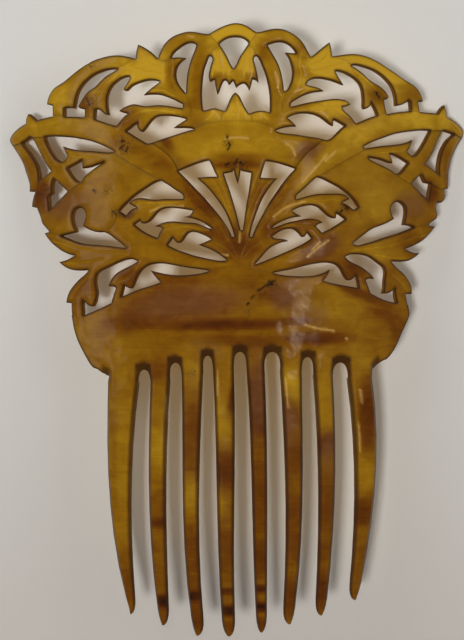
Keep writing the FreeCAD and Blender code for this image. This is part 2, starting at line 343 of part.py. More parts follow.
# The matching openings of the right side, written as their mirror image.
RIGHT_HOLES = [
    # crown hoop crescent
    [(-18.2, 90.0, CORNER), (-17.2, 91.5), (-15.8, 92.7), (-14, 93.4), (-12, 93.3),
     (-9.5, 92.5, CORNER), (-10.4, 90.8), (-11.5, 88.9), (-12.6, 86.8), (-13.4, 84.3),
     (-13.9, 81.8), (-14.2, 78.6, CORNER), (-15.2, 78.9, CORNER), (-16.1, 80.6),
     (-16.7, 82.5), (-16.9, 84.5), (-16.6, 86.5), (-16, 88.3), (-14.8, 90.2, CORNER),
     (-16.5, 90.1)],
    # between the two claws, running on between their legs
    [(-35.2, 86.8, CORNER), (-37, 87.0), (-39, 86.7), (-41, 86.2), (-43.5, 85.3),
     (-45.5, 84.1), (-47.5, 82.5), (-49.0, 80.7), (-49.8, 78.8), (-50.2, 75.2, CORNER),
     (-51.6, 75.3), (-53.2, 75.9), (-54.8, 77.0, CORNER), (-55.6, 76.6, CORNER),
     (-55.8, 73.8, CORNER), (-51.5, 73.3), (-47, 72.4, CORNER), (-46.5, 74.3),
     (-46.1, 76.9, CORNER), (-47.1, 77.0), (-47.7, 77.7), (-47.2, 78.7), (-46.2, 79.8),
     (-44.8, 80.8), (-43, 81.7), (-41, 82.9), (-39.5, 84.2), (-38, 85.3)],
    # between the inner claw and the spray leaves
    [(-43.8, 71.9, CORNER), (-41.5, 71.2), (-39, 70.2), (-36.6, 69.2, CORNER), (-35.7, 70.3),
     (-34.4, 71.7), (-32.9, 72.9), (-32.2, 74.1, CORNER), (-33.5, 74.3),
     (-34.8, 74.8, CORNER), (-34.1, 75.7), (-32.5, 76.3), (-30.5, 76.5), (-28, 76.3),
     (-25, 75.8), (-22, 75.3), (-19, 74.6), (-16.2, 73.9, CORNER), (-16.3, 74.8),
     (-17.6, 75.9), (-19.5, 77.0), (-22, 78.0), (-24.2, 78.5), (-26.4, 78.8, CORNER),
     (-25, 79.6), (-23, 80.1), (-21.0, 80.7, CORNER), (-22, 81.9), (-24, 82.6),
     (-26.5, 82.5), (-29, 82.0), (-32.7, 80.8, CORNER), (-31.6, 82.4), (-30.0, 85.0, CORNER),
     (-31.7, 84.9), (-33.6, 84.3), (-35.6, 83.3), (-37.4, 81.9), (-38.5, 80.2),
     (-38.9, 78), (-39.0, 75.8), (-39.3, 73.7), (-40.3, 73.9), (-41.6, 75.9, CORNER),
     (-42.7, 74.2)],
    # under the lowest spray leaf
    [(-33.1, 68.4, CORNER), (-31, 66.8), (-28.8, 64.7), (-27.4, 64.0), (-25.5, 64.3),
     (-21, 65.0), (-17, 65.6), (-13, 66.1), (-11.4, 66.7, CORNER), (-13.5, 67.5),
     (-17.8, 68.0, CORNER), (-16.7, 69.2), (-15.1, 70.5, CORNER), (-16.6, 71.3),
     (-18.7, 71.9), (-21, 72), (-23.5, 71.6), (-25.5, 70.7), (-27, 69.6),
     (-29.2, 68.3, CORNER), (-29.4, 70.3, CORNER), (-31, 69.5)],
    # between the shoulder strap and the shoulder leaf
    [(-63.2, 68.1, CORNER), (-60.5, 68.1), (-57, 67.7), (-53, 67.1), (-49, 66.2),
     (-46, 65.2), (-43, 64.1), (-39.0, 62.3, CORNER), (-39.4, 61.6, CORNER), (-41.5, 62.0),
     (-44.5, 62.5), (-48, 62.9), (-52, 63.5), (-56, 64.8, CORNER), (-55.3, 63),
     (-54.1, 61.2, CORNER), (-55.6, 59.9, CORNER), (-57.5, 60.6), (-59.2, 62.5),
     (-60.8, 64.7), (-62.2, 66.8)],
    # under the shoulder leaf
    [(-54.5, 57.6, CORNER), (-52, 58.9), (-49.5, 59.9), (-47.8, 60.2, CORNER),
     (-48.4, 58.8), (-48.8, 57.4, CORNER), (-47.3, 57.6), (-45.5, 58.2), (-43, 58.7),
     (-40.2, 59.0, CORNER), (-41.5, 58.1), (-44, 57.0), (-46.5, 56.0), (-49.8, 54.2, CORNER),
     (-51.3, 54.5), (-52.8, 55.9)],
    # slot between the side bars
    [(-73.3, 67.6, CORNER), (-71, 68.0), (-68.4, 68.5, CORNER), (-67.4, 67.6), (-66.3, 65.9),
     (-65, 63.6), (-63.5, 61), (-62, 58.8), (-60.8, 57.6, CORNER), (-62.6, 56.7),
     (-66.2, 54.5, CORNER), (-66.2, 57.0), (-66.7, 59.5), (-67.5, 61.8), (-68.8, 64),
     (-70.7, 66)],
    # angular hole outside the scroll
    [(-59.5, 54.3, CORNER), (-57.6, 53.1), (-55.5, 51.2, CORNER), (-57, 50),
     (-58.8, 48.6), (-62.0, 46.4, CORNER), (-62.3, 48.8), (-63.0, 51.5, CORNER),
     (-60.6, 51.8, CORNER), (-60.0, 53.1)],
    # eye of the scroll and the slit below it
    [(-52.3, 38.4, CORNER), (-52.7, 40), (-53.1, 42), (-53.0, 43.8), (-51.9, 45.1),
     (-50.2, 45.6), (-48.8, 45), (-48.0, 43.8), (-48.0, 42.3), (-48.4, 41.2),
     (-49.0, 40.3, CORNER), (-47.3, 39.4), (-45.5, 38.6), (-43.5, 37.9), (-41.5, 37.2),
     (-39.5, 36.0), (-37.5, 34.6), (-34.9, 32.7, CORNER), (-36.3, 32.1), (-38.5, 32.5),
     (-41.5, 33.2), (-45, 34.3), (-49, 35.4), (-52, 36.3), (-56.2, 37.8, CORNER),
     (-54.5, 38.3)],
    # between the two lower leaves
    [(-32.4, 28.5, CORNER), (-33.4, 29.1), (-35.2, 29.4), (-37.5, 29.3), (-39.5, 28.9),
     (-41.5, 27.9), (-43.4, 26.6), (-45.0, 25.4), (-45.5, 24), (-45.3, 22), (-45.1, 20),
     (-45.0, 18.5), (-44.4, 17.4, CORNER), (-46.2, 17.4), (-48.9, 18.9, CORNER),
     (-48.9, 16.5), (-49.5, 14.4, CORNER), (-46.5, 14.9), (-44, 15.7), (-42, 16.6),
     (-40.6, 17.3, CORNER), (-40, 18.8), (-39.0, 21.5, CORNER), (-40.2, 21.9),
     (-41.8, 21.8, CORNER), (-40.5, 23.4), (-39, 24.6), (-37, 25.8), (-35, 26.7)],
    # over the top edge of the band
    [(-35.8, 22.9, CORNER), (-34.8, 22.0), (-33.5, 21.4), (-32.5, 21.9), (-31.8, 22.9),
     (-31, 24.5), (-30, 25.8), (-28.5, 26.6), (-26.5, 26.9), (-24, 26.7), (-21, 26.2),
     (-18, 25.5), (-15, 24.8), (-12, 24.3), (-10.1, 23.9, CORNER), (-13, 23.2),
     (-16, 22.9), (-19, 22.8), (-22, 22.9), (-24.5, 23.4), (-27.4, 24.7, CORNER),
     (-26.6, 23.0), (-25.3, 21.4, CORNER), (-28, 20.6), (-31, 20.0), (-36.6, 19.0, CORNER),
     (-36.3, 20.8)],
    # over the upper leaf of the inner spray
    [(-24.1, 52.8, CORNER), (-26.2, 52.0), (-28.5, 50.9), (-31, 49.6), (-33, 48.2),
     (-34.6, 46.8), (-35.9, 45.2), (-37.0, 43.6, CORNER), (-35.3, 42.9, CORNER),
     (-34.2, 43.8), (-31.7, 45.0, CORNER), (-34.1, 46.2, CORNER), (-33, 47.2),
     (-31.5, 47.7), (-29, 47.8), (-26, 47.7), (-23, 47.5), (-20.5, 46.9),
     (-17.4, 46.0, CORNER), (-17.5, 47.1), (-18.8, 48.3), (-20.5, 49.8), (-22, 51.2)],
    # between the two leaves of the inner spray
    [(-32.8, 40.0, CORNER), (-29.8, 42.0, CORNER), (-29.6, 40.3, CORNER), (-28.2, 40.5),
     (-26.8, 41.3), (-25.5, 42.5), (-24.5, 43.4), (-23, 44.1), (-21, 44.2), (-19, 43.8),
     (-16.1, 42.6, CORNER), (-17.3, 41.7), (-19.0, 40.9, CORNER), (-17, 40.7),
     (-15, 40.2), (-13, 39.4), (-11.3, 38.5), (-9.9, 37.4, CORNER), (-11.4, 37.8),
     (-13.2, 38.5), (-15.5, 39.2), (-18, 39.7), (-20, 40.1), (-22, 40.2),
     (-25.5, 39.0, CORNER), (-24.3, 38.6), (-23.3, 37.9, CORNER), (-25.2, 35.9, CORNER),
     (-27.5, 36.9), (-30, 38.3)],
    # under the lower leaf of the inner spray
    [(-22, 34.2, CORNER), (-21.3, 35.1), (-20.6, 36.0, CORNER), (-20.1, 35.1),
     (-19.3, 34.6), (-18.4, 35.3), (-17.5, 36.3), (-16.5, 37.0), (-15.2, 37.2),
     (-13.8, 37.0), (-12, 36.2), (-10.0, 34.8, CORNER), (-11.5, 34.2), (-13, 34.1),
     (-14.8, 33.4, CORNER), (-13, 33.1), (-11, 32.4), (-9, 31.2), (-7.5, 29.7), (-6, 28),
     (-4.7, 26.5, CORNER), (-6.5, 27.1), (-9, 28.1), (-12, 29.3), (-15, 30.6),
     (-18, 31.9), (-20.5, 33.2)],
    # side notch of the fan
    [(-17.4, 55.3, CORNER), (-14.7, 56.2), (-12, 57.0), (-8.4, 57.6, CORNER), (-7.7, 55.6),
     (-6.8, 52.6, CORNER), (-9, 52.4), (-11.9, 52.4, CORNER), (-10.6, 51.1), (-9.2, 49.3),
     (-7.8, 47.2), (-6.6, 44.9), (-5.6, 42.5), (-4.6, 39.8), (-3.3, 34.8, CORNER),
     (-4.0, 34.8, CORNER), (-4.9, 37.1), (-6.3, 39.8), (-7.8, 42.5), (-9.5, 45.3),
     (-11.3, 47.9), (-13, 50.3), (-15, 52.8)],
]


# ---------------------------------------------------------------- lines between the motifs

# Where one strap, leaf or bar passes behind the next, from opening to opening.
ARCH_CORNER = (-4.3, 69.4)
HUB_LEFT = (-4.5, 25.9)
HUB_RIGHT = (5.2, 25.3)
HOOP_LEFT = (-13.2, 72.8)
HOOP_RIGHT = (-13.2, 72.6)

MIDDLE_LINES = [
    [(-0.85, 85.9), (-1.1, 81.6)],
    [ARCH_CORNER, (0, 69.5), (4.3, 69.3)],
    [ARCH_CORNER, (-4.2, 71.3), (-3.7, 73.2)],
    [(4.3, 69.3), (4.2, 70.6), (3.75, 72.3)],
    [HUB_LEFT, (0, 26.3), HUB_RIGHT],
]
LEFT_LINES = [
    [(-8.1, 96.6), (-4.4, 92.6)],
    [(-7.7, 88.8), (-7.3, 91.0), (-5.8, 92.0), (-4.0, 91.9)],
    [(-23.6, 89.9), (-21.6, 88.6), (-18.9, 89.6)],
    [(-15.1, 78.9), (-14.0, 76.0), HOOP_LEFT],
    [HOOP_LEFT, (-9.6, 73.5)],
    [HOOP_LEFT, (-14.3, 71.5), (-15.9, 70.6)],
    [(-16.5, 74.5), (-16.2, 72.8), (-17.0, 71.0)],
    [(-23.5, 82.2), (-20.5, 81.6), (-18.3, 79.6), (-16.8, 77.4), (-17.0, 75.2)],
    [(-30.6, 90.2), (-31.6, 88.9), (-34.0, 87.9), (-37.1, 86.75)],
    [(-37.1, 86.55), (-34.8, 85.5), (-33.1, 84.0)],
    [(-59.9, 74.25), (-57, 73.9), (-54.5, 73.95)],
    [(-48.0, 73.3), (-46, 72.8), (-43.8, 72.3)],
    [(-36.9, 70.0), (-35.4, 68.9), (-33.3, 68.0)],
    [(-13.4, 67.55), (-9.5, 68.7), (-6.5, 69.2), ARCH_CORNER],
    [(-27.0, 64.3), (-24, 62.4), (-20.6, 59.6), (-17.4, 55.2)],
    [(-38.5, 62.0), (-34, 59), (-29, 56), (-23.4, 51.9)],
    [(-38.6, 61.85), (-40.0, 60.2), (-41.5, 58.65)],
    [(-77.0, 66.2), (-74.5, 66.6), (-71.6, 66.8)],
    [(-68.1, 67.9), (-65, 68.2), (-62.2, 67.8)],
    [(-67.2, 50.85), (-64.5, 50.6), (-61.0, 49.1)],
    [(-61.7, 56.7), (-60.3, 55.4), (-59.0, 54.2)],
    [(-54.8, 50.5), (-52, 51.4), (-49.4, 53.7)],
    [(-55.6, 60.0), (-54.9, 58.8), (-54.1, 57.5)],
    [(-62.0, 38.3), (-59.2, 37.3), (-56.4, 36.9)],
    [(-42.0, 37.0), (-39.3, 38.3), (-37.6, 40.6), (-36.1, 43.6)],
    [(-34.2, 42.6), (-33.2, 40.9), (-31.4, 39.5)],
    [(-16.8, 47.0), (-15, 45.2), (-14.2, 42.8)],
    [(-17.0, 47.2), (-14.4, 48.8), (-11.9, 49.6)],
    [(-24.4, 35.6), (-23.1, 33.9), (-20.9, 33.0)],
    [(-8.3, 37.8), (-7.6, 36.1), (-8.5, 34.6)],
    [(-8.7, 34.2), (-5, 34.6), (-2.1, 35.1)],
    [(-1.4, 35.1), (-0.4, 36.0), (0.6, 37.2)],
    [(-9.0, 57.6), (-6.3, 56.2), (-3.8, 53.6)],
    [(-4.4, 28.0), (-4.1, 27.0), HUB_LEFT],
    [HUB_LEFT, (-7, 25.4), (-9.9, 24.75)],
    [(-48.0, 25.6), (-46, 26.2), (-43.5, 24.9)],
    [(-53.9, 12.3), (-51, 11.8), (-48.8, 12.4)],
    [(-31.6, 28.1), (-30.1, 27.2), (-28.4, 25.8)],
    [(-40.1, 16.0), (-38, 16.4), (-35.8, 17.95)],
]
RIGHT_LINES = [
    [(-6.5, 96.9), (-3.4, 92.8)],
    [(-6.0, 88.7), (-5.7, 91.0), (-4.6, 92.0), (-2.9, 91.9)],
    [(-22.7, 89.7), (-20.5, 88.8), (-17.6, 90.5)],
    [(-14.7, 79.2), (-13.9, 76.0), HOOP_RIGHT],
    [HOOP_RIGHT, (-9.4, 72.5)],
    [HOOP_RIGHT, (-14.4, 71.4), (-16.0, 70.6)],
    [(-16.8, 74.5), (-16.4, 72.8), (-17.5, 71.0)],
    [(-21.6, 81.1), (-19.5, 80.3), (-17.6, 78.2), (-17.3, 74.9)],
    [(-29.4, 90.0), (-30.6, 88.8), (-33.2, 88.0), (-36.1, 86.75)],
    [(-36.1, 86.6), (-33.0, 85.9), (-30.4, 84.75)],
    [(-59.7, 74.1), (-57, 73.6), (-55.2, 74.1)],
    [(-47.4, 73.0), (-45.5, 72.2), (-43.2, 72.1)],
    [(-36.5, 69.8), (-35, 68.9), (-32.3, 68.3)],
    [(-12.2, 66.9), (-9, 68.2), (-6.5, 69.0), (-4.3, 69.3)],
    [(-27.3, 64.6), (-24, 62.3), (-20.5, 59.2), (-16.7, 55.4)],
    [(-40.0, 62.2), (-35, 59.2), (-29.5, 56.2), (-24.3, 52.3)],
    [(-40.1, 62.0), (-40.3, 60.6), (-41.0, 58.75)],
    [(-77.2, 66.2), (-75.2, 67.0), (-72.4, 67.4)],
    [(-68.8, 68.1), (-66, 68.4), (-62.6, 67.8)],
    [(-68.9, 49.7), (-66, 50.3), (-62.5, 50.9)],
    [(-62.5, 57.3), (-60.9, 55.8), (-59.3, 53.8)],
    [(-56.1, 51.2), (-52.8, 52.2), (-49.9, 54.8)],
    [(-55.8, 60.1), (-55.1, 58.8), (-54.3, 57.4)],
    [(-62.6, 38.55), (-59.3, 38.0), (-55.5, 37.8)],
    [(-41.6, 36.9), (-39.0, 38.4), (-37.3, 40.7), (-36.3, 43.7)],
    [(-35.2, 43.4), (-33.9, 41.5), (-32.2, 40.1)],
    [(-17.9, 46.4), (-17.3, 44.6), (-16.6, 42.4)],
    [(-17.8, 46.6), (-14.5, 48.4), (-11.1, 48.7)],
    [(-25.1, 36.4), (-23.8, 34.9), (-21.4, 34.3)],
    [(-10.2, 37.7), (-9.7, 36.3), (-10.3, 35.0)],
    [(-10.4, 34.7), (-7, 34.6), (-4.1, 35.1)],
    [(-3.4, 35.1), (-2.3, 36.0), (-1.2, 37.2)],
    [(-8.8, 57.1), (-6.2, 55.8), (-3.7, 53.6)],
    [(-5.5, 26.9), (-5.1, 26.2), (-5.2, 25.3)],
    [(-5.2, 25.3), (-8, 24.5), (-11.0, 23.95)],
    [(-48.5, 26.9), (-46.8, 26.9), (-44.2, 25.2)],
    [(-54.3, 14.1), (-51.5, 13.6), (-48.8, 15.1)],
    [(-33.2, 28.5), (-31.5, 27.3), (-29.9, 25.2)],
    [(-41.1, 17.6), (-39, 17.6), (-35.9, 19.4)],
]


# ---------------------------------------------------------------- names of the motifs

# One point inside each motif, on the left side and (as its mirror image) on the right side.
SIDE_MOTIFS = {
    "crown_hoop": ((-12.5, 85), (-10, 87)),
    "crown_hanging_leaf": ((-4, 86), (-3, 86)),
    "crown_base_leaf": ((-8, 71), (-8, 70.5)),
    "spray_top_leaf": ((-26, 87), (-25, 87)),
    "spray_middle_leaf": ((-22, 80), (-20, 78.5)),
    "spray_low_leaf": ((-27, 74), (-27, 75)),
    "outer_claw": ((-55, 80), (-54, 79)),
    "inner_claw": ((-42, 80), (-42, 79.5)),
    "shoulder_strap": ((-50, 70), (-50, 70)),
    "shoulder_leaf": ((-48, 61), (-48, 61.5)),
    "outer_side_bar": ((-68, 60), (-69, 60)),
    "inner_side_bar": ((-61.5, 62), (-62, 62)),
    "scroll_lobe": ((-45, 50), (-45, 50)),
    "lower_branch": ((-30, 33), (-30, 33)),
    "lower_outer_leaf": ((-50, 20), (-50, 20)),
    "lower_inner_leaf": ((-35, 24), (-35, 25)),
    "inner_upper_leaf": ((-26, 45.5), (-28, 45)),
    "inner_lower_leaf": ((-19, 38), (-19, 38)),
    "inner_stem": ((-9, 41), (-10, 42)),
    "fan_leaf": ((-5, 48), (-5, 48)),
}
MIDDLE_MOTIFS = {
    "crown_arch": (0, 97),
    "crown_centre_leaf": (0, 74),
    "upper_arch": (0, 62),
    "fan_hub": (0, 31),
    "heading_band": (0, 15),
}


def all_motifs():
    """Every node name with its point inside."""
    found = dict(MIDDLE_MOTIFS)
    for name, (left, right) in SIDE_MOTIFS.items():
        found[name + "_left"] = left
        found[name + "_right"] = (-right[0], right[1])
    return found


# ---------------------------------------------------------------- flat sheet and its division

def outlines():
    """Outer outline first, then every opening."""
    holes = MIDDLE_HOLES + LEFT_HOLES + [mirrored(hole) for hole in RIGHT_HOLES]
    return [sheet_outline()] + holes


def pierced_sheet():
    return Part.makeFace([closed_wire(o) for o in outlines()], "Part::FaceMakerBullseye")


def ended_on_corners(line, corners):
    """Bring the ends of a dividing line exactly onto the outline corners they aim at."""
    ended = list(line)
    for end in (0, -1):
        nearest = min(corners, key=lambda corner: math.dist(corner, line[end]))
        if math.dist(nearest, line[end]) < REACH:
            ended[end] = nearest
    return ended


def divided_sheet():
    lines = MIDDLE_LINES + LEFT_LINES + [mirrored(line) for line in RIGHT_LINES]
    corners = [tuple(p[:2]) for outline in outlines() for p in outline if len(p) > 2]
    cutters = [Part.Wire([curve_through(ended_on_corners(line, corners))]) for line in lines]
    return SplitAPI.slice(pierced_sheet(), cutters, "Split").Faces


def pick(faces, point):
    """The flat piece that holds the given point."""
    for face in faces:
        if face.isInside(flat(point), 1e-4, True):
            return face
    raise ValueError("no sheet material at %s" % (point,))


# ---------------------------------------------------------------- bending

def cylinder(radius):
    surface = Part.Cylinder()
    surface.Radius = radius
    surface.Center = FreeCAD.Vector(0, BEND, 0)
    return surface


def bent_curve(edge):
    """Flat edge as a curve in the angle and height of the bend."""
    source = edge.Curve.toBSpline(edge.FirstParameter, edge.LastParameter)
    poles = [FreeCAD.Base.Vector2d(1.5 * math.pi + p.x / BEND, p.z) for p in source.getPoles()]
    curve = Part.Geom2d.BSplineCurve2d()
    curve.buildFromPolesMultsKnots(
        poles, source.getMultiplicities(), source.getKnots(), False, source.Degree,
        source.getWeights())
    return curve


def bent_plate(face):
    """Bend one flat piece: same outline on both faces, cut walls square to the sheet."""
    front = cylinder(BEND + SHEET / 2)
    back = cylinder(BEND - SHEET / 2)
    skins = {"front": [], "back": []}
    walls = []
    for wire in face.Wires:
        curves = [bent_curve(edge) for edge in wire.OrderedEdges]
        front_edges = [curve.toShape(front) for curve in curves]
        back_edges = [curve.toShape(back) for curve in curves]
        skins["front"].append(Part.Wire(front_edges))
        skins["back"].append(Part.Wire(back_edges))
        walls += [Part.makeRuledSurface(a, b) for a, b in zip(front_edges, back_edges)]
    front_face = Part.Face(front, skins["front"][0])
    back_face = Part.Face(back, skins["back"][0])
    for outer, inner in zip(skins["front"][1:], skins["back"][1:]):
        front_face.cutHoles([outer])
        back_face.cutHoles([inner])
    shell = Part.makeShell([front_face, back_face] + walls)
    shell.sewShape(1e-3)
    solid = Part.makeSolid(shell.Shells[0])
    if solid.Volume < 0:
        solid.reverse()
    return solid


# ---------------------------------------------------------------- export

def main():
    faces = divided_sheet()
    motifs = all_motifs()
    used = []
    for name, point in motifs.items():
        face = pick(faces, point)
        used.append(face)
        solid = bent_plate(face)
        print("%-26s area %8.2f volume %9.2f valid %s" % (
            name, face.Area, solid.Volume, solid.isValid()))
        solid.exportStep("parts/%s.step" % name)
    for number, tooth in enumerate(TEETH, 1):
        solid = tooth_solid(tooth)
        print("tooth_%d volume %9.2f valid %s" % (number, solid.Volume, solid.isValid()))
        solid.exportStep("parts/tooth_%d.step" % number)
    print("pieces of sheet %d, named %d, area %.2f of %.2f" % (
        len(faces), len(motifs), sum(f.Area for f in used), sum(f.Area for f in faces)))


main()
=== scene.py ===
import math

import bpy
import numpy as np
from mathutils import Matrix, Vector
from mathutils.geometry import delaunay_2d_cdt
from mathutils.kdtree import KDTree


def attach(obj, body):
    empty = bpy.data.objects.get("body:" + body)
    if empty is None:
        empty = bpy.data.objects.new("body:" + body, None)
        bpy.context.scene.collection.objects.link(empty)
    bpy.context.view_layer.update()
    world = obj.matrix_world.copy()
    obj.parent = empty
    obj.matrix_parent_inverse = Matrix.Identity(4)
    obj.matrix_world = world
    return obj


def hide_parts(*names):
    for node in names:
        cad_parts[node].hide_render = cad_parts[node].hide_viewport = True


# A pierced, bent hair comb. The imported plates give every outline; this script gives each
# plate its carved relief, dressed edges and mottled, polished material.
# Flat coordinates (s along the bend, z up) are in millimetres, scene coordinates in metres.

MM = 0.001
BEND = 114.0                 # radius of the bend at mid thickness
SHEET = 3.0                  # thickness of the sheet
FRONT = BEND + SHEET / 2     # radius of the convex front skin
BACK = BEND - SHEET / 2      # radius of the concave back skin

# Spacing of the mesh points.
EDGE_STEP = 0.5              # along an outline
GRID_STEP = 0.62             # over the front
BACK_STEP = 1.6              # over the back
RINGS = (0.14, 0.32, 0.6, 1.0)   # how far in from the front outline each ring of points lies
BACK_RINGS = (0.45, 0.9)         # the same at the back
STROKE_GAPS = (0.0, 0.3, -0.3)   # rows of points along and beside an engraved line
CLOSEST = 0.14               # of two points nearer together than this, one is dropped
EDGE_CLEARANCE = 0.12        # points of an engraved line stay this far from the outline
TRACE_STEP = 0.12            # spacing of the points that stand for a line when measuring

# Relief, as (width, depth).
EDGE_BEVEL = (0.30, 0.16)    # dressed front edge
BACK_BEVEL = (0.90, 1.25)    # back edge, dressed well away
PILLOW = (2.2, 0.30)         # soft rounding of carved motifs
UNDERLAP = (2.2, 0.50)       # dip where a motif passes under its neighbour
VEIN = (0.50, 0.24)          # engraved vein
SCOOP = (1.15, 1.05)         # dressed hollow round the slots between the teeth
SCOOP_RISE = 3.0             # how much further it reaches above a slot than beside it

# How strongly the colour is pulled to the dark edge colour: painted shade in hollows, round the
# slots and beside overlying motifs, and grime with painted shade along sawn edges. 0 leaves it as
# it is, 1 gives the dark edge colour.
EDGE_DARK, EDGE_DARK_END, EDGE_DARK_FADE = 0.97, 0.72, 0.42   # strength, reach, fading part
SLOT_DARK, SLOT_DARK_DEPTH = 0.80, 0.32                       # full at this depth of hollow
CAP_DARK = 0.96
SEAM_DARK = ((0.45, 0.35), (0.3, 1.2))                        # (strength, reach) of two shadows
BACK_EDGE_DARK, BACK_EDGE_REACH = 0.6, 0.4
TIP_DARK = 0.6

# Widths of the drawn marks.
# Width of the painted glints.
GLINT_WIDTH = 0.40
CRACK_WIDTH = 0.45
VEIN_HIGHLIGHT = (0.6, 1.0)      # (width, strength) of the painted highlight along a vein
VEIN_HIGHLIGHT_TONE = 0.15

# Teeth.
TIP_RUN = 6.0                # length over which the sections crowd towards the tip
SHAFT_SECTIONS = 84
TIP_SECTIONS = 22
FRONT_POINTS = 7             # points across the flat front of a section

SHARP_ANGLE = math.radians(44)   # mesh edges sharper than this are not smoothed
CORNER_ANGLE = math.radians(20)  # outline points that turn more than this are corners
SKIN_TOLERANCE = 0.05        # CAD vertices this near the front radius are on the front face
TOUCHING = 0.1               # outlines nearer than this belong to neighbours
SLOT_TOP, SLOT_SPAN = 0.8, 42.5  # the slots' edges lie below and within these

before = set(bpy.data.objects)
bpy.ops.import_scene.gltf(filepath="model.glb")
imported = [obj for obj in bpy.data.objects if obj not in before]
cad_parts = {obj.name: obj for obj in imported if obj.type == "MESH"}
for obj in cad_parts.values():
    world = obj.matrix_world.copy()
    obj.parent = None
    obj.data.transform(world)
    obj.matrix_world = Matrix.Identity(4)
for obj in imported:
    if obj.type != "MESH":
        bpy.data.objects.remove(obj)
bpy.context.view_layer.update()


# ---------------------------------------------------------------- what lies over what

# (upper motif, lower motif, how boldly the carver separated them). Motifs that are not
# listed run into each other with no step.
LAPS = [
    ("shoulder_strap", "upper_arch", 1.0), ("shoulder_strap", "scroll_lobe", 0.6),
    ("shoulder_strap", "shoulder_leaf", 0.8), ("shoulder_strap", "outer_side_bar", 0.9),
    ("shoulder_strap", "inner_side_bar", 0.9), ("shoulder_strap", "outer_claw", 0.5),
    ("shoulder_strap", "inner_claw", 0.5), ("upper_arch", "crown_base_leaf", 0.5),
    ("crown_centre_leaf", "crown_base_leaf", 0.6), ("upper_arch", "crown_centre_leaf", 0.4),
    ("crown_arch", "crown_hoop", 0.5), ("crown_hoop", "spray_top_leaf", 0.4),
    ("crown_hoop", "spray_middle_leaf", 0.4), ("crown_hoop", "spray_low_leaf", 0.3),
    ("inner_side_bar", "scroll_lobe", 0.5), ("outer_side_bar", "scroll_lobe", 0.6),
    ("lower_branch", "scroll_lobe", 0.4), ("inner_stem", "inner_upper_leaf", 0.3),
    ("inner_stem", "inner_lower_leaf", 0.3), ("lower_branch", "heading_band", 0.3),
    ("fan_leaf", "fan_hub", 0.3), ("inner_stem", "fan_hub", 0.2),
    ("spray_top_leaf", "outer_claw", 0.5), ("crown_hoop", "crown_hanging_leaf", 0.4),
]
BOLDNESS = {(upper, lower): bold for upper, lower, bold in LAPS}


def plain_name(node):
    """A motif's name without its side."""
    return node.replace("_left", "").replace("_right", "")


# ---------------------------------------------------------------- engraved veins

# Written for the left side; the right side gets the mirror image.
SIDE_VEINS = [
    [(-4.6, 91.0), (-4.3, 86.5), (-3.5, 82.6)],
    [(-6.4, 90.2), (-7.1, 86.5), (-7.0, 83.0)],
    [(-2.9, 89.6), (-2.2, 86.0), (-2.4, 82.3)],
    [(-9.2, 70.2), (-7.6, 71.5), (-6.9, 73.1)],
    [(-19.6, 90.2), (-18.9, 86.5), (-19.4, 83.2), (-18.2, 80.2)],
    [(-28.9, 91.6), (-26.2, 88.2), (-22.0, 86.2)],
    [(-33.0, 87.5), (-28.2, 86.0), (-22.4, 84.5)],
    [(-25.6, 79.6), (-22.2, 79.6), (-18.6, 77.6)],
    [(-34.2, 71.0), (-29.5, 73.4), (-24.0, 73.6), (-18.6, 72.8)],
    [(-43.2, 79.4), (-40.6, 82.2), (-36.4, 85.2)],
    [(-52.9, 61.7), (-49.0, 60.9), (-43.0, 60.3)],
    [(-33.6, 44.3), (-29.5, 45.8), (-24.0, 45.6), (-17.8, 45.6)],
    [(-23.6, 37.0), (-19.4, 38.0), (-14.6, 38.2), (-9.6, 36.8)],
    [(-14.4, 50.0), (-9.6, 44.0), (-5.6, 38.4), (-3.2, 33.6)],
    [(-12.8, 46.6), (-9.0, 42.0), (-5.0, 36.6)],
    [(-11.8, 43.6), (-8.4, 39.8), (-5.6, 36.0)],
    [(-9.8, 54.6), (-6.4, 50.2), (-3.4, 43.6), (-1.2, 37.8)],
    [(-6.2, 54.8), (-4.2, 49.2), (-2.4, 43.6)],
    [(-6.6, 33.2), (-3.6, 31.2), (-1.2, 28.4)],
    [(-3.2, 34.4), (-1.6, 31.6), (-0.5, 28.6)],
    [(-61.4, 35.6), (-55.6, 34.4), (-46.0, 32.0), (-34.0, 30.4)],
    [(-55.8, 28.3), (-49.5, 28.2), (-42.0, 29.2)],
    [(-53.4, 17.4), (-51.2, 20.4), (-47.8, 23.2)],
    [(-37.0, 22.0), (-33.6, 23.6), (-31.0, 26.4)],
]
MIDDLE_VEINS = [
    [(0.0, 76.6), (0.5, 73.2), (0.3, 70.4)],
    [(1.5, 73.6), (2.6, 71.4)],
    [(-1.4, 73.8), (-2.6, 71.6)],
    [(0.0, 56.6), (0.1, 54.0)],
]
